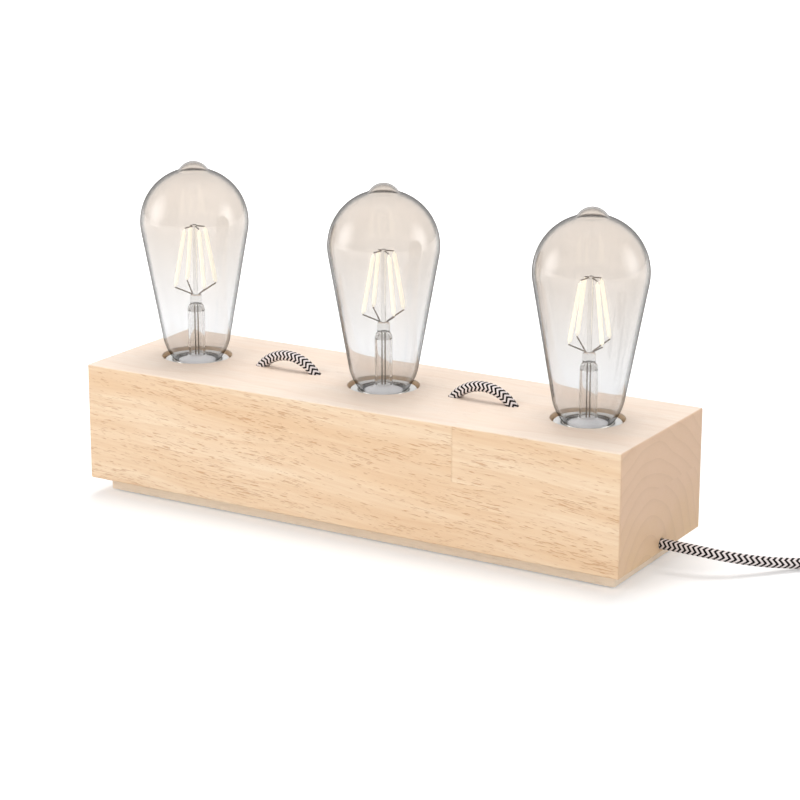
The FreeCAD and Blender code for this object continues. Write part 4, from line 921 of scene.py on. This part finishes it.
# %% Glass
def glass_material(name, tint, density, rough, painted_rim_shade, painted_reflection):
    """Solid glass with a tint in its depth. Its base colour turns to the last argument higher
    up, a painted reflection of the surroundings. The rim is darkened by painted shade, as far
    as the argument before it says; shadow rays pass nearly freely."""
    material, tree, shader, place = new_material(name)
    height = add(tree, "ShaderNodeSeparateXYZ", {0: place}).outputs["Z"]
    # Painted reflection: the glass's colour turns warm higher up.
    tree.links.new(blend(tree, spread(tree, height, 100.0, 165.0), (1, 1, 1, 1), painted_reflection),
                   shader.inputs["Base Color"])
    shader.inputs["Transmission Weight"].default_value = 1.0
    shader.inputs["IOR"].default_value = 1.5
    life = use_group(tree, life_group, {"Place": place})
    tree.links.new(spread(tree, life["Blotch"], 0, 1, rough, rough + 0.01),
                   shader.inputs["Roughness"])
    output = tree.nodes["Material Output"]
    # Painted shade: where the glass is seen edge-on, a dim transparent shader is mixed in and
    # darkens the rim.
    facing = add(tree, "ShaderNodeLayerWeight", {"Blend": 0.5}).outputs["Facing"]
    edge = maths(tree, "MULTIPLY", spread(tree, facing, 0.66, 0.88), painted_rim_shade)
    dim = add(tree, "ShaderNodeBsdfTransparent", {"Color": (0.56, 0.54, 0.52, 1)})
    body = add(tree, "ShaderNodeMixShader", {0: edge, 1: shader.outputs[0], 2: dim.outputs[0]})
    shadow = add(tree, "ShaderNodeLightPath").outputs["Is Shadow Ray"]
    clear = add(tree, "ShaderNodeBsdfTransparent", {"Color": (0.98, 0.975, 0.97, 1)})
    both = add(tree, "ShaderNodeMixShader",
               {0: shadow, 1: body.outputs[0], 2: clear.outputs[0]})
    tree.links.new(both.outputs[0], output.inputs["Surface"])
    depth = add(tree, "ShaderNodeVolumeAbsorption", {"Color": tint, "Density": density})
    tree.links.new(depth.outputs[0], output.inputs["Volume"])
    return material


# The bulbs' glass turns warm higher up, a painted reflection, and its rim takes painted shade.
bulb_glass = glass_material("bulb_glass", (0.42, 0.42, 0.43, 1), 270.0, 0.0, 1.0,
                            (0.84, 0.79, 0.74, 1))
stem_glass = glass_material("stem_glass", (0.55, 0.53, 0.50, 1), 110.0, 0.02, 0.35,
                            (1, 1, 1, 1))


# %% Braid
braid_material, tree, shader, place = new_material("braid_zigzag")
weave = add(tree, "ShaderNodeUVMap", uv_map="weave").outputs[0]
split = add(tree, "ShaderNodeSeparateXYZ", {0: weave}).outputs
turn_part = maths(tree, "FRACT", maths(tree, "MULTIPLY", split["X"], zigzags))
zigzag = maths(tree, "SUBTRACT", 1.0, maths(tree, "ABSOLUTE",
               maths(tree, "MULTIPLY_ADD", turn_part, 2.0, -1.0)))
stripe = maths(tree, "MULTIPLY_ADD", zigzag, swing, split["Y"])
phase = maths(tree, "FRACT", stripe)
fold = maths(tree, "ABSOLUTE", maths(tree, "MULTIPLY_ADD", phase, 2.0, -1.0))
white_yarn = spread(tree, fold, 0.46, 0.54)
fine_place = add(tree, "ShaderNodeCombineXYZ",
                 {0: maths(tree, "MULTIPLY", split["X"], 90.0),
                  1: maths(tree, "MULTIPLY", stripe, 16.0), 2: 0.0}).outputs[0]
fibre = add(tree, "ShaderNodeTexNoise", {"Vector": fine_place, "Scale": 1.0,
                                         "Detail": 2.0}).outputs[0]
dark = blend(tree, spread(tree, fibre, 0.35, 0.75), paint(16, 11, 12), paint(36, 27, 28))
light = blend(tree, spread(tree, fibre, 0.35, 0.75), paint(228, 216, 214), paint(250, 244, 242))
tree.links.new(blend(tree, white_yarn, dark, light), shader.inputs["Base Color"])
tree.links.new(spread(tree, fibre, 0, 1, 0.55, 0.8), shader.inputs["Roughness"])
ridge = maths(tree, "ABSOLUTE", maths(tree, "SINE", maths(tree, "MULTIPLY", stripe, 2 * math.pi)))
bump(tree, shader, maths(tree, "MULTIPLY_ADD", fibre, 0.5, ridge), 0.12)
shader.inputs["Specular IOR Level"].default_value = 0.2

# %% Hard finishes
finishes = {
    "porcelain": hard_finish("porcelain", paint(250, 250, 248), paint(245, 245, 244), 0.14,
                             depth=0.004),
    "shell_metal": hard_finish("shell_metal", paint(214, 212, 206), paint(196, 194, 190), 0.3, 1.0),
    "contact_brass": hard_finish("contact_brass", paint(214, 180, 112), paint(198, 160, 98),
                                 0.3, 1.0),
    "cap_metal": hard_finish("cap_metal", paint(218, 217, 214), paint(203, 201, 197), 0.26, 1.0),
    "insulator_black": hard_finish("insulator_black", paint(26, 24, 28), paint(34, 30, 36), 0.12),
    "driver_potting": hard_finish("driver_potting", paint(244, 243, 243), paint(232, 231, 232),
                                  0.3, depth=0.05),
    "support_wire": hard_finish("support_wire", paint(158, 146, 134), paint(128, 118, 108),
                                0.35, 1.0),
    "steel_plate": hard_finish("steel_plate", paint(200, 202, 206), paint(184, 186, 190),
                               0.34, 1.0),
    "screw_steel": hard_finish("screw_steel", paint(206, 200, 178), paint(190, 184, 160), 0.3, 1.0),
    "pad_rubber": hard_finish("pad_rubber", paint(196, 190, 184), paint(180, 174, 168), 0.8,
                              depth=0.06),
    "core_brown": hard_finish("core_brown", paint(104, 64, 42), paint(94, 56, 36), 0.4),
    "core_blue": hard_finish("core_blue", paint(60, 104, 168), paint(50, 92, 152), 0.4),
    "clamp_nylon": hard_finish("clamp_nylon", paint(226, 224, 216), paint(216, 213, 204), 0.45),
    "switch_black": hard_finish("switch_black", paint(36, 35, 36), paint(30, 29, 30), 0.42,
                                depth=0.03),
    "rocker_black": hard_finish("rocker_black", paint(30, 30, 31), paint(24, 24, 25), 0.22),
    "plug_black": hard_finish("plug_black", paint(36, 35, 36), paint(30, 29, 30), 0.45,
                              depth=0.03),
    "pin_nickel": hard_finish("pin_nickel", paint(222, 220, 214), paint(206, 204, 198), 0.2, 1.0),
    "tie_black": hard_finish("tie_black", paint(38, 37, 38), paint(26, 25, 26), 0.8, depth=0.1),
    "filament_phosphor": hard_finish("filament_phosphor", paint(255, 252, 240),
                                     paint(253, 249, 232), 0.5, depth=0.03),
}
# Painted light: the filaments and the driver's potting glow faintly of their own, though the bulbs
# are not switched on.
for name, colour, strength in (("filament_phosphor", paint(255, 251, 236), 0.7),
                               ("driver_potting", paint(235, 235, 240), 0.16)):
    shader = finishes[name].node_tree.nodes["Principled BSDF"]
    shader.inputs["Emission Color"].default_value = colour
    shader.inputs["Emission Strength"].default_value = strength
finishes.update({"bulb_glass": bulb_glass, "stem_glass": stem_glass, "block_wood": block_wood,
                 "base_wood": base_wood, "braid_zigzag": braid_material})
print(len(finishes), "finishes")

# %% [markdown]
# ## Dressing every piece
# The frame's nodes keep their shapes and take a finish by name. The new pieces take a
# finish by the first word of their name.

# %% Dress the pieces
node_finish = {
    "wood_block": "block_wood", "base_plate": "base_wood", "foot_pads": "pad_rubber",
    "holder_body": "porcelain", "holder_shell": "shell_metal",
    "holder_contact": "contact_brass", "holder_brackets": "steel_plate",
    "holder_bolts": "screw_steel", "bracket_screws": "screw_steel",
    "base_screws": "screw_steel", "terminal_screws": "screw_steel",
    "clamp_screws": "screw_steel", "switch_screws": "screw_steel",
    "bulb_glass": "bulb_glass", "bulb_cap": "cap_metal", "bulb_driver": "driver_potting",
    "bulb_filaments": "filament_phosphor", "bulb_insulator": "insulator_black",
    "bulb_contact": "contact_brass", "bulb_stem": "stem_glass", "bulb_wires": "support_wire",
    "live_cores": "core_brown", "neutral_cores": "core_blue", "cord_clamp": "clamp_nylon",
    "cord_loop": "braid_zigzag", "cord_inside": "braid_zigzag", "cord_lead": "braid_zigzag",
    "cord_link": "braid_zigzag", "cord_coil": "braid_zigzag", "cord_tail": "braid_zigzag",
    "switch_top": "switch_black", "switch_bottom": "switch_black",
    "switch_rocker": "rocker_black", "switch_contacts": "contact_brass",
    "plug_body": "plug_black", "plug_pins": "pin_nickel",
}
new_finish = {"braid": "braid_zigzag", "glass": "bulb_glass", "cap": "cap_metal",
              "driver": "driver_potting", "filaments": "filament_phosphor",
              "coil": "tie_black"}


def dress(piece, finish):
    """Gives a piece one finish in place of what it had."""
    piece.data.materials.clear()
    piece.data.materials.append(finishes[finish])


for name, node in nodes.items():
    kind = name if name in node_finish else name.rsplit("_", 1)[0]
    dress(node, node_finish[kind])
for piece in bpy.data.objects:
    kind = piece.name.split("_")[0]
    if piece.type == "MESH" and piece.name not in nodes and kind in new_finish:
        dress(piece, new_finish[kind])
print(len(nodes), "nodes dressed")
